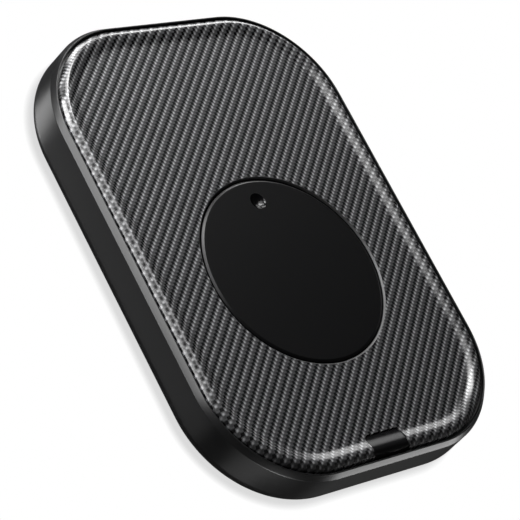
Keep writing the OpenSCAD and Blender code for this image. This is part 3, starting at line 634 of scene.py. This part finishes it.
def casing_tree():
    """Wall section swept round the outline, with corner bosses, the key's room and the socket's window."""
    tree, sockets = geometry_tree("Swept casing", [
        *OUTLINE_SIZES,
        ("Boss X", "Float", 0.030076), ("Boss Y", "Float", 0.047076), ("Boss Low", "Float", 0.004),
        ("Boss High", "Float", 0.0113), ("Boss Floor", "Float", 0.006), ("Boss Radius", "Float", 0.0037),
        ("Well Radius", "Float", 0.0024), ("Hole Radius", "Float", 0.00115), ("Room Width", "Float", 0.0141),
        ("Room Depth", "Float", 0.0074), ("Room Height", "Float", 0.002), ("Room Reach", "Float", 0.0057),
        ("Room Z", "Float", 0.01032), ("Window Width", "Float", 0.00954), ("Window Height", "Float", 0.00376),
        ("Window Z", "Float", 0.00558), ("Material", "Material", None)])
    corners = add(tree, "GeometryNodeCurvePrimitiveQuadrilateral", {
        "Width": add(tree, MATH, (sockets["Boss X"], 2.0), operation="MULTIPLY"),
        "Height": add(tree, MATH, (sockets["Boss Y"], 2.0), operation="MULTIPLY")})

    def at_corners(radius, low, high):
        """An upright cylinder round each corner screw."""
        tall = add(tree, MATH, (high, low), operation="SUBTRACT")
        total = add(tree, MATH, (high, low), operation="ADD")
        drum = upright_cylinder(tree, radius, tall, z=add(tree, MATH, (total, 0.5), operation="MULTIPLY"))
        copies = add(tree, "GeometryNodeInstanceOnPoints", {"Points": corners, "Instance": drum})
        return add(tree, "GeometryNodeRealizeInstances", {"Geometry": copies})

    bosses = at_corners(sockets["Boss Radius"], sockets["Boss Low"], sockets["Boss High"])
    rim = swept_rim(tree, sockets)
    whole = add(tree, BOOLEAN, {"Mesh 2": [rim, bosses]}, operation="UNION", solver="EXACT")
    wells = at_corners(sockets["Well Radius"], sockets["Boss Floor"], CLEAR)
    holes = at_corners(sockets["Hole Radius"], 0.0, CLEAR)
    room_size = add(tree, "ShaderNodeCombineXYZ", (sockets["Room Width"], sockets["Room Depth"],
                                                   sockets["Room Height"]))
    front = add(tree, MATH, (sockets["Length"], -0.5, sockets["Room Reach"]), operation="MULTIPLY_ADD")
    room = moved(tree, add(tree, "GeometryNodeMeshCube", {"Size": room_size}), y=front, z=sockets["Room Z"])
    # The window's ends are all but half round. Its cutter starts outside the rear wall and lies on its side.
    outside, deep, nearly_half = 2 * MM, 6 * MM, 0.4999
    round_end = add(tree, MATH, (sockets["Window Height"], nearly_half), operation="MULTIPLY")
    mouth = rounded_outline(tree, sockets["Window Width"], sockets["Window Height"], round_end)
    behind = add(tree, MATH, (sockets["Length"], 0.5, outside), operation="MULTIPLY_ADD")
    cutter = prism(tree, mouth, 0.0, deep)
    window = moved(tree, cutter, y=behind, z=sockets["Window Z"], turn=(math.pi / 2, 0, 0))
    done = add(tree, BOOLEAN, {"Mesh 1": whole, "Mesh 2": [wells, holes, room, window]},
               operation="DIFFERENCE", solver="EXACT")
    close_tree(tree, done, sockets["Material"])
    return tree


def coil_tree():
    """A wire wound in a helix round the seed, which is the coil's core."""
    tree, sockets = geometry_tree("Wound coil", [
        ("Radius", "Float", 0.009), ("Wire", "Float", 0.00016), ("Turns", "Float", 12.0),
        ("Height", "Float", 0.004), ("Centre", "Vector", (0, 0, 0)), ("Material", "Material", None)])
    helix = add(tree, "GeometryNodeCurveSpiral", {
        "Resolution": 48, "Rotations": sockets["Turns"], "Start Radius": sockets["Radius"],
        "End Radius": sockets["Radius"], "Height": sockets["Height"]})
    wire = add(tree, "GeometryNodeCurvePrimitiveCircle", {"Resolution": 6, "Radius": sockets["Wire"]})
    wound = add(tree, "GeometryNodeCurveToMesh", {"Curve": helix, "Profile Curve": wire, "Fill Caps": True})
    lifted = add(tree, "GeometryNodeTransform", {"Geometry": wound, "Translation": sockets["Centre"]})
    both = add(tree, "GeometryNodeJoinGeometry", {"Geometry": [lifted, sockets["Geometry"]]})
    close_tree(tree, both, sockets["Material"])
    return tree


def repeat_tree():
    """Sets a copy of a template on each point of the seed."""
    tree, sockets = geometry_tree("Set on points", [
        ("Template", "Object", None), ("Material", "Material", None)])
    shape = add(tree, "GeometryNodeObjectInfo", {"Object": sockets["Template"], "As Instance": False})
    copies = add(tree, "GeometryNodeInstanceOnPoints", {
        "Points": sockets["Geometry"], "Instance": shape.outputs["Geometry"]})
    close_tree(tree, copies, sockets["Material"])
    return tree


def set_on_points(name, points, template, material):
    """A mesh with a copy of the template at each point."""
    shape = bpy.data.objects.new(name + " template", template)
    bpy.context.scene.collection.objects.link(shape)
    tree = bpy.data.node_groups.get("Set on points") or repeat_tree()
    mesh = grown(name, seed_mesh(name, points), tree, {"Template": shape, "Material": material})
    bpy.data.objects.remove(shape)
    return mesh


# ---------------------------------------------------------------- pieces


class JIGGLER_OT_casing(bpy.types.Operator):
    """Builds the casing: its wall section is carried round the rounded outline."""
    bl_idname = "jiggler.casing"
    bl_label = "Casing"

    def execute(self, context):
        s = context.scene.jiggler_casing
        low, top = CASE_LOW.z, CASE_HIGH.z
        wide = low + s.tuck_height
        wall_top = top - s.band_height
        ledge = top - s.ledge_drop
        radius = (s.tuck_height ** 2 + s.tuck_width ** 2) / (2 * s.tuck_width)
        tuck_steps = 12
        section = []
        for k in range(tuck_steps + 1):
            z = low + s.tuck_height * k / tuck_steps
            section.append((radius - math.sqrt(radius ** 2 - (wide - z) ** 2), z))
        band = s.lean + s.band_width
        first = len(section)
        wall, rebate, rebate_top = 2 * MM, 3.2 * MM, low + 2.2 * MM
        shelf, shelf_low = 5 * MM, ledge - 1.3 * MM
        section += [(s.lean, wall_top), (band, top), (band + s.lip, top), (band + s.lip, ledge),
                    (shelf, ledge), (shelf, shelf_low), (wall, shelf_low), (wall, rebate_top),
                    (rebate, rebate_top), (rebate, low)]
        # Rounded by point: the foot, the wall's top, both edges of the band, and the rebate.
        rounding = {0: 0.1 * MM, first: 0.3 * MM, first + 1: 0.1 * MM, first + 2: 0.08 * MM,
                    first + 9: 0.1 * MM}
        section = filleted(section, rounding)
        seed = seed_mesh("casing section", [(-x, -z, 0) for x, z in section], closed=True)
        # Satin ABS: the mould's fine spark grain breaks reflections up slightly.
        satin = moulded("Satin moulded ABS", s.paint, 0.3, grain=0.18 * MM, depth=0.004 * MM, IOR=1.53)
        mesh = grown("casing", seed, casing_tree(), {
            "Width": s.width, "Length": s.length, "Corner": s.corner, "Steps": s.steps, "Material": satin})
        place("casing", smooth(mesh), "casing", replaces=["case_frame"])
        return {"FINISHED"}


def ridge(s, top, sink=0.0):
    """The ridge's surface as (inset, height) from the deck's edge to its floor."""
    start = s.inset + s.bevel
    crest = start + s.outer_slope
    base, n = top - sink, s.slope_steps
    points = [(s.inset, top - s.bevel_drop - sink)]
    points += [(start + s.outer_slope * k / n, base + s.ridge * math.sin(math.pi / 2 * k / n))
               for k in range(n + 1)]
    points += [(crest + s.inner_slope * k / n, base + s.ridge * (1 + math.cos(math.pi * k / n)) / 2)
               for k in range(1, n + 1)]
    return points


class JIGGLER_OT_deck(bpy.types.Operator):
    """Builds the deck: its ridge is carried round the outline, and its floor has the disc's opening."""
    bl_idname = "jiggler.deck"
    bl_label = "Deck"

    def execute(self, context):
        scene = context.scene
        s, case, key, disc = scene.jiggler_deck, scene.jiggler_casing, scene.jiggler_key, scene.jiggler_disc
        ledge = CASE_HIGH.z - case.ledge_drop
        foot = s.inset + s.bevel + s.outer_slope + s.inner_slope
        overlap = 0.5 * MM
        section = [(foot + overlap, ledge), (s.inset, ledge), *ridge(s, s.floor), (foot + overlap, s.floor)]
        seed = seed_mesh("deck section", [(-x, -z, 0) for x, z in section], closed=True)
        opening = DISC_RADIUS + disc.gap
        mesh = grown("deck", seed, deck_tree(), {
            "Width": case.width, "Length": case.length, "Corner": case.corner, "Steps": case.steps,
            "Floor Inset": foot + overlap / 2, "Floor Top": s.floor, "Floor Thickness": s.floor - ledge,
            "Opening Radius": opening, "Opening Y": DISC_CENTRE[1], "Opening Bevel": s.opening_bevel,
            "Notch Width": key.width + 2 * key.gap, "Notch End": CASE_LOW.y + key.reach + key.gap,
            "Notch Corner": key.corner + key.gap, "Material": twill_film(s, opening)})
        place("deck", smooth(mesh, 30), "casing", replaces=["deck_cover"])
        return {"FINISHED"}


class JIGGLER_OT_disc(bpy.types.Operator):
    """Builds the disc: turned with a bevelled edge, with a finger dimple and three pegs."""
    bl_idname = "jiggler.disc"
    bl_label = "Disc"

    def execute(self, context):
        s = context.scene.jiggler_disc
        x, y = DISC_CENTRE[:2]
        top, low = DISC_HIGH.z, DISC_HIGH.z - 1.6 * MM
        # The ring just inside the bevel keeps the shading of the top flat.
        brim = DISC_RADIUS - s.bevel_width
        outline = [(0, low), (DISC_RADIUS, low), (DISC_RADIUS, top - s.bevel_height), (brim, top),
                   (brim - 0.3 * MM, top), (0, top)]
        mesh = turned("disc", filleted(outline, {1: 0.1 * MM, 2: 0.08 * MM, 3: 0.12 * MM}), DISC_CENTRE, 192)
        ball = ((s.dimple / 2) ** 2 + s.dimple_depth ** 2) / (2 * s.dimple_depth)
        hollow = (x, y + s.dimple_reach)
        bm = bmesh.new()
        bmesh.ops.create_uvsphere(bm, u_segments=64, v_segments=48, radius=ball,
                                  matrix=Matrix.Translation((*hollow, top - s.dimple_depth + ball)))
        mesh = cut(mesh, mesh_from(bm, "dimple"))
        bm = bmesh.new()
        bm.from_mesh(mesh)
        peg, peg_reach, peg_low = 1.1 * MM, 6.3 * MM, DISC_LOW.z
        for k in range(3):
            a = math.radians(120 * k + 90)
            lathe(bm, filleted([(0, peg_low), (peg, peg_low), (peg, low), (0, low)], {1: 0.2 * MM}),
                  (x + peg_reach * math.cos(a), y + peg_reach * math.sin(a)), 32)
        mesh = mesh_from(bm, "disc")
        # Satin ABS with a finer grain than the casing.
        satin = moulded("Fine satin ABS", s.paint, 0.3, grain=0.12 * MM, depth=0.003 * MM, spread=0.08,
                        Specular_IOR_Level=0.3)
        # The dimple is polished, so it shows a sharp crescent of light.
        tree = satin.node_tree
        shader = tree.nodes["Principled BSDF"]
        grainy = shader.inputs["Roughness"].links[0].from_socket
        spot = add(tree, "ShaderNodeTexCoord").outputs["Object"]
        away = add(tree, "ShaderNodeVectorMath", (spot, (*hollow, top)), operation="DISTANCE")
        inside = add(tree, MATH, (away, s.dimple / 2), operation="LESS_THAN")
        dulled = add(tree, MATH, (inside, -0.4, 1.0), operation="MULTIPLY_ADD")
        connect(tree, shader, {"Roughness": add(tree, MATH, (grainy, dulled), operation="MULTIPLY")})
        place("disc", smooth(mesh), "turntable", satin, ["turntable_disc"])
        return {"FINISHED"}


class JIGGLER_OT_key(bpy.types.Operator):
    """Builds the power key: it follows the ridge, and its flange and stem are underneath."""
    bl_idname = "jiggler.key"
    bl_label = "Power key"

    def execute(self, context):
        s, deck = context.scene.jiggler_key, context.scene.jiggler_deck
        low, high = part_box("power_key")
        front = CASE_LOW.y
        base = 10.2 * MM
        # The edges are eased by a narrow bevel, a little less deep than wide.
        edge = 0.1 * MM
        edge_drop = 0.8 * edge
        half = s.width / 2
        surface = ridge(deck, deck.floor, s.sink)

        def height_at(y):
            """The key's surface height at a distance inside the casing's outline."""
            for (y0, z0), (y1, z1) in zip(surface, surface[1:]):
                if y0 <= y <= y1:
                    return z0 + (z1 - z0) * (y - y0) / (y1 - y0)
            return surface[-1][1]

        # Rows across the key: distance inside the casing's outline and half width.
        bend = s.reach - s.corner
        rows = [(y, half) for y, z in surface if y < bend]
        rows += [(bend + s.corner * math.sin(a), half - s.corner * (1 - math.cos(a)))
                 for a in (math.pi / 2 * k / 16 for k in range(16))]
        # The last two rows ease the round corners into the inner end.
        rows += [(s.reach - edge, half - s.corner * 0.72), (s.reach, half - s.corner)]
        bm = bmesh.new()
        rings = []
        for y, w in rows:
            z = height_at(y) - (edge_drop if y == s.reach else 0)
            side = z - edge_drop
            ring = [(-w, base), (-w, side), (edge - w, z), (w - edge, z), (w, side), (w, base)]
            rings.append([bm.verts.new((x, front + y, h)) for x, h in ring])
        for one, two in zip(rings, rings[1:]):
            for k in range(len(one)):
                m = (k + 1) % len(one)
                bm.faces.new([one[k], one[m], two[m], two[k]])
        bm.faces.new(rings[0])
        bm.faces.new(rings[-1][::-1])
        flange_front, thick = front + 2.4 * MM, 1 * MM
        block(bm, (0, (high.y + flange_front) / 2, base + thick / 2),
              (high.x - low.x, high.y - flange_front, thick))
        stem = 2 * MM
        lathe(bm, filleted([(0, low.z), (stem, low.z), (stem, base), (0, base)], {1: 0.3 * MM}),
              (0, front + (deck.inset + s.reach) / 2), 48)
        # Polished ABS: the mould is polished, so the highlight is sharp.
        gloss = moulded("Polished moulded ABS", s.paint, 0.24, grain=0.4 * MM, depth=0.001 * MM, IOR=1.53,
                        Specular_IOR_Level=0.2)
        place("key", smooth(mesh_from(bm, "key"), 30), "key", gloss, ["power_key"])
        return {"FINISHED"}


class JIGGLER_OT_base(bpy.types.Operator):
    """Finishes the bottom cover and builds the four ribbed rubber feet."""
    bl_idname = "jiggler.base"
    bl_label = "Bottom cover and feet"

    def execute(self, context):
        # Matt ABS: a coarser mould grain that scatters the light.
        coat(moulded("Fine matt moulded ABS", context.scene.jiggler_casing.base_paint, 0.55, grain=0.35 * MM,
                     depth=0.02 * MM, spread=0.2), "bottom_cover")
        # Silicone rubber: dull, with a soft bloom.
        rubber = moulded("Silicone rubber", linear("#2b2b2c"), 0.8, grain=0.5 * MM, depth=0.01 * MM,
                         spread=0.15, Sheen_Weight=0.15)
        rib, pitch, flank, groove = 0.5 * MM, 1.1 * MM, 0.1 * MM, 0.15 * MM
        rim, shoulder = 0.5 * MM, 0.45 * MM
        for name in ("foot_front_left", "foot_front_right", "foot_rear_left", "foot_rear_right"):
            low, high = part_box(name)
            radius = (high.x - low.x) / 2
            outline = [(0, groove)]
            at = 0.9 * MM
            while at + rib < radius - rim:
                outline += [(at, groove), (at + flank, 0), (at + rib, 0), (at + rib + flank, groove)]
                at += pitch
            outline += [(radius - rim, groove), (radius, shoulder), (radius, high.z), (0, high.z)]
            foot = smooth(turned(name, outline, middle(low, high), 96))
            place(name.replace("foot", "rubber_foot"), foot, "casing", rubber, [name])
        return {"FINISHED"}


HEAD_RADIUS, HEAD_HEIGHT, SHANK_RADIUS = 1.9 * MM, 1.2 * MM, 0.95 * MM


def screw_shape(long, down=False):
    """A pan-head screw with a cross recess, its head's underside at z = 0."""
    taper, tip = 0.6 * MM, 0.25 * MM
    profile = [(0, HEAD_HEIGHT), (HEAD_RADIUS, HEAD_HEIGHT), (HEAD_RADIUS, 0), (SHANK_RADIUS, 0),
               (SHANK_RADIUS, taper - long), (tip, -long), (0, -long)]
    mesh = turned("screw", filleted(profile, {1: HEAD_HEIGHT * 0.6, 2: 0.05 * MM, 4: 0.1 * MM}, 4), steps=40)
    slot, span, deep = 0.6 * MM, 2.3 * MM, 1.3 * MM
    bm = bmesh.new()
    block(bm, (0, 0, HEAD_HEIGHT), (slot, span, deep))
    block(bm, (0, 0, HEAD_HEIGHT), (span, slot, deep))
    mesh = cut(mesh, mesh_from(bm, "cross"))
    if down:
        mesh.transform(Matrix.Rotation(math.pi, 4, "X"))
    return smooth(mesh)


def island_centres(mesh):
    """The middle of each separate solid in a mesh, in plan."""
    bm = bmesh.new()
    bm.from_mesh(mesh)
    bmesh.ops.remove_doubles(bm, verts=bm.verts, dist=1e-7)
    left = set(bm.verts)
    centres = []
    while left:
        front = [left.pop()]
        island = list(front)
        while front:
            vert = front.pop()
            others = [edge.other_vert(vert) for edge in vert.link_edges]
            fresh = [other for other in others if other in left]
            left.difference_update(fresh)
            front += fresh
            island += fresh
        xs, ys = [v.co.x for v in island], [v.co.y for v in island]
        centres.append(((min(xs) + max(xs)) / 2, (min(ys) + max(ys)) / 2))
    bm.free()
    return sorted(centres, key=lambda c: (round(c[0], 5), round(c[1], 5)))


class JIGGLER_OT_screws(bpy.types.Operator):
    """Builds the case, motor and board screws, each set as copies of one screw."""
    bl_idname = "jiggler.screws"
    bl_label = "Screws"

    def execute(self, context):
        # Zinc-plated steel: pale grey, slightly blotched.
        zinc = brushed("Zinc-plated steel", linear("#b9bbbd"), 0.34, stretch=(1, 1, 1), pitch=0.3 * MM)
        case_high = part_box("case_screws")[1]
        x, y, seat = case_high.x - HEAD_RADIUS, case_high.y - HEAD_RADIUS, 2.4 * MM
        spots = [(i * x, j * y, seat) for i in (-1, 1) for j in (-1, 1)]
        screws = set_on_points("screws_case", spots, screw_shape(case_high.z - seat, down=True), zinc)
        place("screws_case", screws, "casing", replaces=["case_screws"])
        for node, name in (("board_screws", "screws_board"), ("motor_screws", "screws_motor")):
            low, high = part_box(node)
            seat = high.z - HEAD_HEIGHT
            spots = [(*centre, seat) for centre in island_centres(NODES[node].data)]
            screws = set_on_points(name, spots, screw_shape(seat - low.z), zinc)
            place(name, screws, "casing", replaces=[node])
        return {"FINISHED"}


class JIGGLER_OT_drive(bpy.types.Operator):
    """Finishes the gears, the spindle and the motor, and winds the motor's coil."""
    bl_idname = "jiggler.drive"
    bl_label = "Gears and motor"

    def execute(self, context):
        # Acetal: waxy off-white, with a soft satin shine.
        coat(moulded("Moulded acetal", linear("#dcd8cb"), 0.42, grain=0.6 * MM, depth=0.005 * MM, spread=0.04,
                     Subsurface_Weight=0.05), "turntable_gear", "reduction_gear")
        # Nylon: plain white and a little dull.
        coat(moulded("Nylon washer", linear("#efeee6"), 0.5, spread=0.03), "thrust_washer")
        coat(moulded("Terminal nylon", linear("#e6e2d6"), 0.5, spread=0.04), "motor_terminal")
        # Ground steel: bright, with fine marks.
        coat(brushed("Ground steel", linear("#c6c9cc"), 0.18), "spindle_pin", "reduction_pin", "motor_shaft")
        # Blued steel: dark grey with a low shine.
        coat(brushed("Blued spring steel", linear("#6f7479"), 0.3), "spindle_clip")
        # Nickel on rolled sheet: pale grey, with the marks of the rolls.
        coat(brushed("Nickel-plated sheet steel", linear("#bfc2c5"), 0.28, stretch=(1, 30, 1)),
             "motor_can", "motor_plate")
        # Turned brass: yellow, with the tool's fine rings.
        coat(brushed("Turned brass", linear("#d3ac5c"), 0.26), "motor_bushes", "motor_pinion")
        # Bonded ferrite: dull dark grey, with the powder's grain.
        coat(moulded("Bonded ferrite", linear("#4a4b50"), 0.6, spread=0.2), "motor_magnet")
        # Foam: nearly black, since its pitted skin swallows the light.
        coat(moulded("Closed-cell foam", linear("#38383a"), 0.9, grain=0.4 * MM, depth=0.08 * MM, spread=0.3),
             "motor_pad")
        # Vinyl: an even colour with a soft shine.
        coat(moulded("Soft vinyl insulation", linear("#b5322a"), 0.45, spread=0.06), "motor_leads")
        coat(moulded("Grey vinyl insulation", linear("#8e9093"), 0.45, spread=0.06), "key_leads")

        low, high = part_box("motor_coil")
        x, y, _ = middle(low, high)
        wire = 0.18 * MM
        radius, tall = (high.x - low.x) / 2, high.z - low.z - 2 * wire
        inner, outer = 5.2 * MM, radius - 2 * wire
        core = filleted([(inner, low.z), (outer, low.z), (outer, high.z), (inner, high.z), (inner, low.z)],
                        {1: 0.2 * MM, 2: 0.2 * MM})
        # Enamel over copper: the tone drifts from turn to turn.
        copper, tree, shader = new_material("Enamelled copper wire", Metallic=1.0, Roughness=0.3,
                                            Coat_Weight=0.6)
        tone = texture(tree, NOISE, 1 / (1.5 * MM), Detail=3.0)
        drift = add(tree, MIX, (tone, linear("#8f4a26"), linear("#c8753f")), data_type="RGBA")
        connect(tree, shader, {"Base Color": drift})
        # The turns lie side by side, with a hair between them.
        turns = math.floor(tall / (2.1 * wire))
        mesh = grown("coil", turned("coil core", core, (x, y), 96), coil_tree(), {
            "Radius": radius - wire, "Wire": wire, "Turns": turns, "Height": tall,
            "Centre": (x, y, low.z + wire), "Material": copper})
        place("coil", smooth(mesh, 50), "casing", replaces=["motor_coil"])
        return {"FINISHED"}


# The section of a chip's leg, from the package down to the board, as (across, up) in millimetres.
LEG = ((0, 0.55), (0.25, 0.55), (0.35, 0.45), (0.4, 0.12), (0.6, 0.1), (0.6, 0), (0.3, 0), (0.24, 0.4),
       (0, 0.42))


class JIGGLER_OT_boards(bpy.types.Operator):
    """Finishes the circuit boards, the socket and the switch, and adds the driver chip's legs."""
    bl_idname = "jiggler.boards"
    bl_label = "Circuit boards"

    def execute(self, context):
        coat(solder_mask(), "main_board", "key_board")
        # Epoxy package: dull black with a faint texture from the mould.
        epoxy = moulded("Epoxy package", linear("#1d1d1f"), 0.5, grain=0.15 * MM, spread=0.15)
        coat(epoxy, "controller_chip", "switch_body", "socket_tongue")
        # Polished plastic: black with a clear highlight.
        coat(moulded("Polished switch plunger", linear("#101011"), 0.3), "switch_plunger")
        # Sintered ceramic: smooth tan.
        coat(moulded("Sintered ceramic", linear("#b08f63"), 0.35, spread=0.1), "board_capacitors")
        # Tin on rolled sheet: bright grey, with the marks of the rolls.
        tinned = brushed("Tinned sheet steel", linear("#c9cbcd"), 0.22, stretch=(1, 30, 1))
        coat(tinned, "socket_shell")

        low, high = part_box("driver_chip")
        x, y, z = middle(low, high)
        leg_reach, half_leg, stand_off = 0.6 * MM, 0.2 * MM, 0.1 * MM
        bm = bmesh.new()
        block(bm, (x, y, z + stand_off / 2),
              (high.x - low.x - 2 * leg_reach, high.y - low.y, high.z - low.z - stand_off))
        bmesh.ops.bevel(bm, geom=list(bm.edges), offset=0.1 * MM, segments=2, affect="EDGES", profile=0.6)
        package = smooth(mesh_from(bm, "driver"))
        place("driver_package", package, "casing", epoxy, ["driver_chip"])
        bm = bmesh.new()
        near, far = ([bm.verts.new((x * MM, y, z * MM)) for x, z in LEG] for y in (-half_leg, half_leg))
        for i in range(len(LEG)):
            bm.faces.new([near[i - 1], near[i], far[i], far[i - 1]])
        bm.faces.new(near)
        bm.faces.new(far[::-1])
        leg = mesh_from(bm, "leg")
        rows = [low.y + (high.y - low.y) * (k + 0.5) / 4 for k in range(4)]
        for side, edge, angle in (("right", high.x - leg_reach, 0), ("left", low.x + leg_reach, math.pi)):
            template = leg.copy()
            template.transform(Matrix.Rotation(angle, 4, "Z"))
            legs = set_on_points("legs_" + side, [(edge, row, low.z) for row in rows], template, tinned)
            place("driver_legs_" + side, legs, "casing")
        return {"FINISHED"}


# The camera's right and up directions and its frame's shift, as solved from the photo.
CAMERA_RIGHT = (0.7388, -0.4429, 0.5082)
CAMERA_UP = (0.1507, 0.8434, 0.5159)
CAMERA_SHIFT = (0.0247, 0.0012)

# The soft cards round the part, which only its gloss mirrors: degrees from +X towards +Y, degrees above
# the floor, and radiance.
CARDS = (
    (51.4, 8, 5.01),
    (77.1, 8, 6.98),
    (154.3, 8, 6.2),
    (135, 28, 16.5),
    (165, 28, 6.65),
    (72, 48, 14.12),
    (90, 68, 2.87),
    (255, -12, 10.4),
    (97, 42, 8),
    (126, 62, 3.4),
    (46, 21, 3.2),
    (314, -7, 4.6),
    (116, -40, 2.9),
    (150, -40, 0.32),
    (180, -40, 0.33),
    (240, -40, 0.61),
    (320, -40, 0.1),
)
CARD_DISTANCE, CARD_SIZE = 0.6, 0.255
# The key lamp lights the colours: the direction that it stands in, its distance and its size.
KEY_AIM, KEY_DISTANCE, KEY_SIZE = (-0.4, 0.75, 0.5), 0.35, 0.3


class JIGGLER_OT_stage(bpy.types.Operator):
    """Sets up the camera, the pale floor and the soft lamps."""
    bl_idname = "jiggler.stage"
    bl_label = "Stage"

    def lamp(self, context, name, aim, distance, size, power, lights):
        """A round soft lamp that either lights the colours or is only mirrored by the gloss."""
        lamp = bpy.data.lights.new(name, "AREA")
        lamp.shape, lamp.size, lamp.energy = "DISK", size, power
        holder = bpy.data.objects.new(name, lamp)
        turn = aim.to_track_quat("Z", "Y").to_matrix().to_4x4()
        holder.matrix_world = Matrix.Translation(aim * distance) @ turn
        holder.visible_camera = False
        holder.visible_diffuse, holder.visible_glossy = lights, not lights
        context.scene.collection.objects.link(holder)

    def camera(self, scene, distance, focal_length):
        """The camera, which looks along the line that the photo was taken on."""
        right, up = Vector(CAMERA_RIGHT), Vector(CAMERA_UP)
        back = right.cross(up).normalized()
        right = up.cross(back).normalized()
        up = back.cross(right)
        lens = bpy.data.cameras.new("camera")
        lens.lens, lens.sensor_width, lens.sensor_fit = focal_length, 36, "HORIZONTAL"
        lens.shift_x, lens.shift_y = CAMERA_SHIFT
        lens.clip_start, lens.clip_end = 0.01, 20
        camera = bpy.data.objects.new("camera", lens)
        turn = Matrix((right, up, back)).transposed().to_4x4()
        camera.matrix_world = Matrix.Translation(back * distance) @ turn
        scene.collection.objects.link(camera)
        scene.camera = camera

    def sweep(self, tone):
        """Pale paper: even and matt, with a faint mottle."""
        pale, tree, shader = new_material("Pale paper sweep", Roughness=0.9, Specular_IOR_Level=0.1)
        mottle = texture(tree, NOISE, 1 / (1.2 * MM), Detail=2.0)
        lighter = tuple(min(1, c * 1.02) for c in tone)
        connect(tree, shader, {"Base Color": add(tree, MIX, (mottle, tone, lighter), data_type="RGBA")})
        # The camera sees a white sweep that is lit from behind, with a soft shadow round the part.
        near = add(tree, "ShaderNodeAmbientOcclusion", {"Distance": 2.6 * MM}, samples=8).outputs["AO"]
        dim = add(tree, RANGE, {"Value": near, "From Min": 0.5, "To Min": 0.7, "To Max": 1.0})
        white = add(tree, "ShaderNodeEmission", {"Color": (1, 1, 1), "Strength": dim})
        seen = add(tree, "ShaderNodeLightPath").outputs["Is Camera Ray"]
        blend = add(tree, "ShaderNodeMixShader", (seen, shader, white))
        # The sweep is one-sided, so that a view from below shows the underside.
        under = add(tree, "ShaderNodeNewGeometry").outputs["Backfacing"]
        clear = add(tree, "ShaderNodeBsdfTransparent")
        sided = add(tree, "ShaderNodeMixShader", (under, blend, clear))
        connect(tree, tree.nodes["Material Output"], {"Surface": sided})
        return pale

    def execute(self, context):
        scene, s = context.scene, context.scene.jiggler_stage
        self.camera(scene, s.distance, s.lens)

        bm = bmesh.new()
        bmesh.ops.create_grid(bm, x_segments=1, y_segments=1, size=2)
        mesh = bpy.data.meshes.new("floor")
        bm.to_mesh(mesh)
        bm.free()
        mesh.materials.append(self.sweep(s.floor))
        floor = bpy.data.objects.new("floor", mesh)
        scene.collection.objects.link(floor)
        # The part's gloss mirrors the dim studio and not the sweep.
        floor.visible_glossy = False
        floor.visible_shadow = False

        world = bpy.data.worlds.new("studio")
        scene.world = world
        world.use_nodes = True
        sky = world.node_tree
        sky.nodes.clear()
        seen = add(sky, "ShaderNodeLightPath").outputs["Is Camera Ray"]
        soft = add(sky, "ShaderNodeBackground", {"Color": (1, 1, 1), "Strength": s.surround})
        white = add(sky, "ShaderNodeBackground", {"Color": (1, 1, 1), "Strength": 1.0})
        both = add(sky, "ShaderNodeMixShader", (seen, soft, white))
        add(sky, "ShaderNodeOutputWorld", {"Surface": both})

        # A lamp's power goes with the square of its distance, a card's with its area.
        aim = Vector(KEY_AIM).normalized()
        power = s.key_light * 4 * math.pi * KEY_DISTANCE ** 2 / aim.z
        self.lamp(context, "key lamp", aim, KEY_DISTANCE, KEY_SIZE, power, lights=True)
        for turn, rise, radiance in CARDS:
            turn, rise = math.radians(turn), math.radians(rise)
            aim = Vector((math.cos(turn) * math.cos(rise), math.sin(turn) * math.cos(rise), math.sin(rise)))
            power = radiance * s.cards * math.pi * CARD_SIZE ** 2 * math.pi / 4
            self.lamp(context, "card", aim, CARD_DISTANCE, CARD_SIZE, power, lights=False)
        scene.view_settings.view_transform = "Standard"
        return {"FINISHED"}


STEPS = ("stage", "casing", "deck", "disc", "key", "base", "screws", "drive", "boards")


class JIGGLER_PT_panel(bpy.types.Panel):
    """Lists the steps that build the mouse jiggler."""
    bl_idname = "JIGGLER_PT_panel"
    bl_label = "Mouse jiggler"
    bl_space_type = "VIEW_3D"
    bl_region_type = "UI"
    bl_category = "Mouse jiggler"

    def draw(self, context):
        for step in STEPS:
            self.layout.operator("jiggler." + step)
        for group in GROUPS:
            box = self.layout.box()
            settings = getattr(context.scene, group)
            for name in settings.__annotations__:
                box.prop(settings, name)


GROUPS = {"jiggler_casing": CasingSettings, "jiggler_deck": DeckSettings, "jiggler_disc": DiscSettings,
          "jiggler_key": KeySettings, "jiggler_stage": StageSettings}
CLASSES = (*GROUPS.values(), JIGGLER_OT_stage, JIGGLER_OT_casing, JIGGLER_OT_deck, JIGGLER_OT_disc,
           JIGGLER_OT_key, JIGGLER_OT_base, JIGGLER_OT_screws, JIGGLER_OT_drive, JIGGLER_OT_boards,
           JIGGLER_PT_panel)


def register():
    """Registers the classes and hangs the settings on the scene."""
    for cls in CLASSES:
        bpy.utils.register_class(cls)
    for name, cls in GROUPS.items():
        setattr(bpy.types.Scene, name, PointerProperty(type=cls))


def unregister():
    """Takes the settings and the classes away again."""
    for name in GROUPS:
        delattr(bpy.types.Scene, name)
    for cls in reversed(CLASSES):
        bpy.utils.unregister_class(cls)


def main():
    """Builds every piece."""
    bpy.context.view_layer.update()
    register()
    for step in STEPS:
        getattr(bpy.ops.jiggler, step)()


if __name__ == "__main__":
    main()
